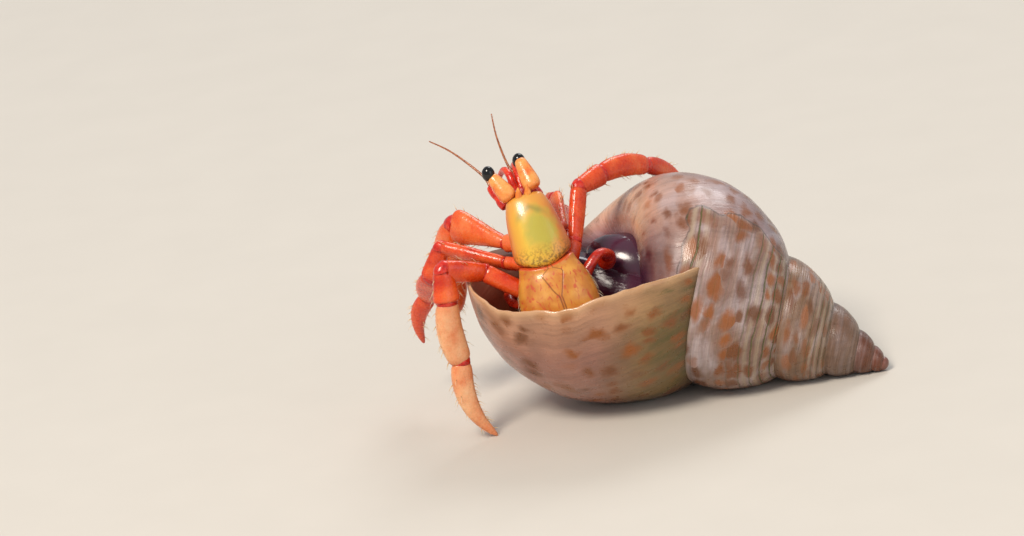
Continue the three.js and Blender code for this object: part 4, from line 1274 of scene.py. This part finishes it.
MATERIALS = {}


def finishes():
    """The finishes, made the first time that a piece needs one."""
    if not MATERIALS:
        MATERIALS.update(make_materials())
    return MATERIALS


# ---------------------------------------------------------------- settings

# What the settings of one kind share.
LENGTH = {"subtype": "DISTANCE", "unit": "LENGTH", "precision": 5}
ANGLE = {"subtype": "ANGLE", "unit": "ROTATION"}
COLOUR = {"size": 4, "min": 0.0, "max": 1.0, "subtype": "COLOR"}


class CrabShellSettings(bpy.types.PropertyGroup):
    """Sizes and markings of the snail shell."""
    wall: FloatProperty(
        name="Wall", description="Thickness of the shell wall behind the lip", default=0.55 * MM,
        min=0.3 * MM, max=0.9 * MM, **LENGTH)
    spots_per_turn: FloatProperty(
        name="Spots per Turn", description="Number of spot columns in one turn of the spiral", default=39.0,
        min=0.0, max=60.0)
    grooves: FloatProperty(
        name="Grooves", description="Number of spiral grooves across a whorl", default=18.0, min=0.0,
        max=60.0)
    spot_rows: FloatProperty(
        name="Spot Rows", description="Number of rows of spots across a whorl", default=13.0, min=1.0,
        max=30.0)
    spot_colour: FloatVectorProperty(
        name="Spots", description="Colour of the rust-brown spots", default=hex_colour("#985210"), **COLOUR)


class CrabBodySettings(bpy.types.PropertyGroup):
    """Sizes and colours of the crab."""
    cornea_radius: FloatProperty(
        name="Cornea Radius", description="Radius of the black cornea, across the stalk", default=0.47 * MM,
        min=0.2 * MM, max=0.6 * MM, **LENGTH)
    bristle_length: FloatProperty(
        name="Bristle Length", description="Mean length of the bristles", default=0.4 * MM, min=0.1 * MM,
        max=1.0 * MM, **LENGTH)
    bristles_per_mm: FloatProperty(
        name="Bristles per Millimetre", description="Number of bristles on each millimetre of a leg segment",
        default=5.0, min=0.0, max=20.0)
    leg_colour: FloatVectorProperty(
        name="Legs", description="Colour of the legs", default=hex_colour("#DF4A14"), **COLOUR)
    leg_tip_colour: FloatVectorProperty(
        name="Leg Tips", description="Colour of the two outer segments of the paler leg",
        default=hex_colour("#ECA674"), **COLOUR)


class CrabStageSettings(bpy.types.PropertyGroup):
    """The floor, the light and the camera."""
    floor_colour: FloatVectorProperty(
        name="Floor", description="Colour of the floor", default=hex_colour("#CFC9BF"), **COLOUR)
    daylight: FloatProperty(
        name="Surrounding Light", description="Strength of the even light from all sides", default=0.55,
        min=0.0, max=3.0)
    camera_height: FloatProperty(
        name="Camera Height", description="Angle at which the camera looks down", default=math.radians(18),
        min=0.0, max=math.radians(80), **ANGLE)
    camera_roll: FloatProperty(
        name="Camera Roll", description="Angle by which the camera leans to its right",
        default=math.radians(9), min=math.radians(-45), max=math.radians(45), **ANGLE)
    camera_distance: FloatProperty(
        name="Camera Distance", description="Distance from the camera to the middle of the view",
        default=0.398, min=0.1, max=2.0, subtype="DISTANCE", unit="LENGTH")


# ---------------------------------------------------------------- operators


class CRAB_OT_shell(bpy.types.Operator):
    """Build the snail shell"""
    bl_idname = "crab.shell"
    bl_label = "Snail Shell"

    def execute(self, context):
        build_shell(context.scene.crab_shell)
        return {"FINISHED"}


class CRAB_OT_plates(bpy.types.Operator):
    """Build the head shield and the rear carapace"""
    bl_idname = "crab.plates"
    bl_label = "Back Plates"

    def execute(self, context):
        build_plates()
        return {"FINISHED"}


class CRAB_OT_soft_body(bpy.types.Operator):
    """Build the skin of the belly and abdomen, and the tail fan"""
    bl_idname = "crab.soft_body"
    bl_label = "Soft Body"

    def execute(self, context):
        build_skin()
        build_tail()
        return {"FINISHED"}


class CRAB_OT_legs(bpy.types.Operator):
    """Build the four walking legs"""
    bl_idname = "crab.legs"
    bl_label = "Walking Legs"

    def execute(self, context):
        build_limbs("leg", random.Random(31))
        return {"FINISHED"}


class CRAB_OT_claws(bpy.types.Operator):
    """Build the two claws"""
    bl_idname = "crab.claws"
    bl_label = "Claws"

    def execute(self, context):
        build_limbs("claw", random.Random(47))
        return {"FINISHED"}


class CRAB_OT_hind_legs(bpy.types.Operator):
    """Build the four small hind legs"""
    bl_idname = "crab.hind_legs"
    bl_label = "Hind Legs"

    def execute(self, context):
        for name in SMALL_LEGS:
            build_small_leg(name)
        return {"FINISHED"}


class CRAB_OT_eyes(bpy.types.Operator):
    """Build the eyestalks, their corneas and the scales at their feet"""
    bl_idname = "crab.eyes"
    bl_label = "Eyes"

    def execute(self, context):
        for side in HEAD:
            build_eye(side, context.scene.crab_body)
        return {"FINISHED"}


class CRAB_OT_feelers(bpy.types.Operator):
    """Build the feelers and the outer mouth legs"""
    bl_idname = "crab.feelers"
    bl_label = "Feelers and Mouth Legs"

    def execute(self, context):
        for side in HEAD:
            build_feelers(side)
        return {"FINISHED"}


class CRAB_OT_bristles(bpy.types.Operator):
    """Grow the bristles of the limbs and the back"""
    bl_idname = "crab.bristles"
    bl_label = "Bristles"

    def execute(self, context):
        random_state = random.Random(5)
        for name in LIMBS:
            build_bristles(name, random_state, context.scene.crab_body)
        build_back_bristles(random_state, context.scene.crab_body)
        return {"FINISHED"}


class CRAB_OT_stage(bpy.types.Operator):
    """Lay the floor, hang the lamps and set the camera"""
    bl_idname = "crab.stage"
    bl_label = "Stage"

    def execute(self, context):
        build_stage(context.scene, context.scene.crab_stage)
        return {"FINISHED"}


# ---------------------------------------------------------------- stage


def lay_floor(scene, settings):
    """A pale floor that lies under the model and reaches out of every view."""
    bm = bmesh.new()
    bmesh.ops.create_grid(bm, x_segments=8, y_segments=8, size=2.0)
    mesh = bpy.data.meshes.new("floor")
    bm.to_mesh(mesh)
    bm.free()
    mesh.materials.append(pale_floor(settings))
    floor = bpy.data.objects.new("floor", mesh)
    scene.collection.objects.link(floor)


def hang_lights(scene, settings):
    """Three large soft lamps, and an even light around them."""
    world = bpy.data.worlds.new("Even light")
    scene.world = world
    world.use_nodes = True
    background = world.node_tree.nodes["Background"]
    background.inputs["Color"].default_value = hex_colour("#E8ECF2")
    background.inputs["Strength"].default_value = settings.daylight
    for name, direction, distance, size, power, colour in LAMPS:
        lamp = bpy.data.lights.new(name, "AREA")
        lamp.shape = "DISK"
        lamp.size = size
        lamp.energy = power
        lamp.color = hex_colour(colour)[:3]
        holder = bpy.data.objects.new(name, lamp)
        scene.collection.objects.link(holder)
        heading = Vector(direction).normalized()
        turn = heading.to_track_quat("Z", "Y").to_matrix().to_4x4()
        holder.matrix_world = Matrix.Translation(Vector(LOOK_AT) * MM + heading * distance) @ turn


def set_camera(scene, settings):
    """A long lens that looks down at the model, leaning a little to its right."""
    height, roll = settings.camera_height, settings.camera_roll
    towards = Vector((0, -math.cos(height), math.sin(height)))
    level_up = Vector((0, math.sin(height), math.cos(height)))
    right = Vector((1, 0, 0)) * math.cos(roll) - level_up * math.sin(roll)
    camera = bpy.data.cameras.new("Camera")
    camera.lens = 200
    camera.sensor_width = 36
    camera.clip_start = 0.01
    camera.clip_end = 20
    view = bpy.data.objects.new("Camera", camera)
    scene.collection.objects.link(view)
    turn = Matrix((right, towards.cross(right), towards)).transposed().to_4x4()
    view.matrix_world = Matrix.Translation(Vector(LOOK_AT) * MM + towards * settings.camera_distance) @ turn
    scene.camera = view


def build_stage(scene, settings):
    """The floor, the light and the camera, with colours shown as they were chosen."""
    lay_floor(scene, settings)
    hang_lights(scene, settings)
    set_camera(scene, settings)
    scene.view_settings.view_transform = "Standard"


# ---------------------------------------------------------------- add-on

OPERATORS = (CRAB_OT_shell, CRAB_OT_plates, CRAB_OT_soft_body, CRAB_OT_legs, CRAB_OT_claws, CRAB_OT_hind_legs,
             CRAB_OT_eyes, CRAB_OT_feelers, CRAB_OT_bristles, CRAB_OT_stage)
SETTINGS = {"crab_shell": CrabShellSettings, "crab_body": CrabBodySettings, "crab_stage": CrabStageSettings}


class CRAB_PT_panel(bpy.types.Panel):
    """Lists the settings and the pieces"""
    bl_idname = "CRAB_PT_panel"
    bl_label = "Hermit Crab"
    bl_space_type = "VIEW_3D"
    bl_region_type = "UI"
    bl_category = "Hermit Crab"

    def draw(self, context):
        for group in SETTINGS:
            settings = getattr(context.scene, group)
            box = self.layout.box()
            for name in settings.bl_rna.properties.keys():
                if name not in ("rna_type", "name"):
                    box.prop(settings, name)
        for operator in OPERATORS:
            self.layout.operator(operator.bl_idname)


def register():
    """Makes the settings, the operators and the panel known to Blender."""
    for name, group in SETTINGS.items():
        bpy.utils.register_class(group)
        setattr(bpy.types.Scene, name, PointerProperty(type=group))
    for kind in (*OPERATORS, CRAB_PT_panel):
        bpy.utils.register_class(kind)


def unregister():
    """Takes them away again."""
    for kind in reversed((*OPERATORS, CRAB_PT_panel)):
        bpy.utils.unregister_class(kind)
    for name, group in reversed(SETTINGS.items()):
        delattr(bpy.types.Scene, name)
        bpy.utils.unregister_class(group)


def main():
    """Builds everything in order."""
    register()
    for operator in OPERATORS:
        family, name = operator.bl_idname.split(".")
        getattr(getattr(bpy.ops, family), name)()


if __name__ == "__main__":
    main()
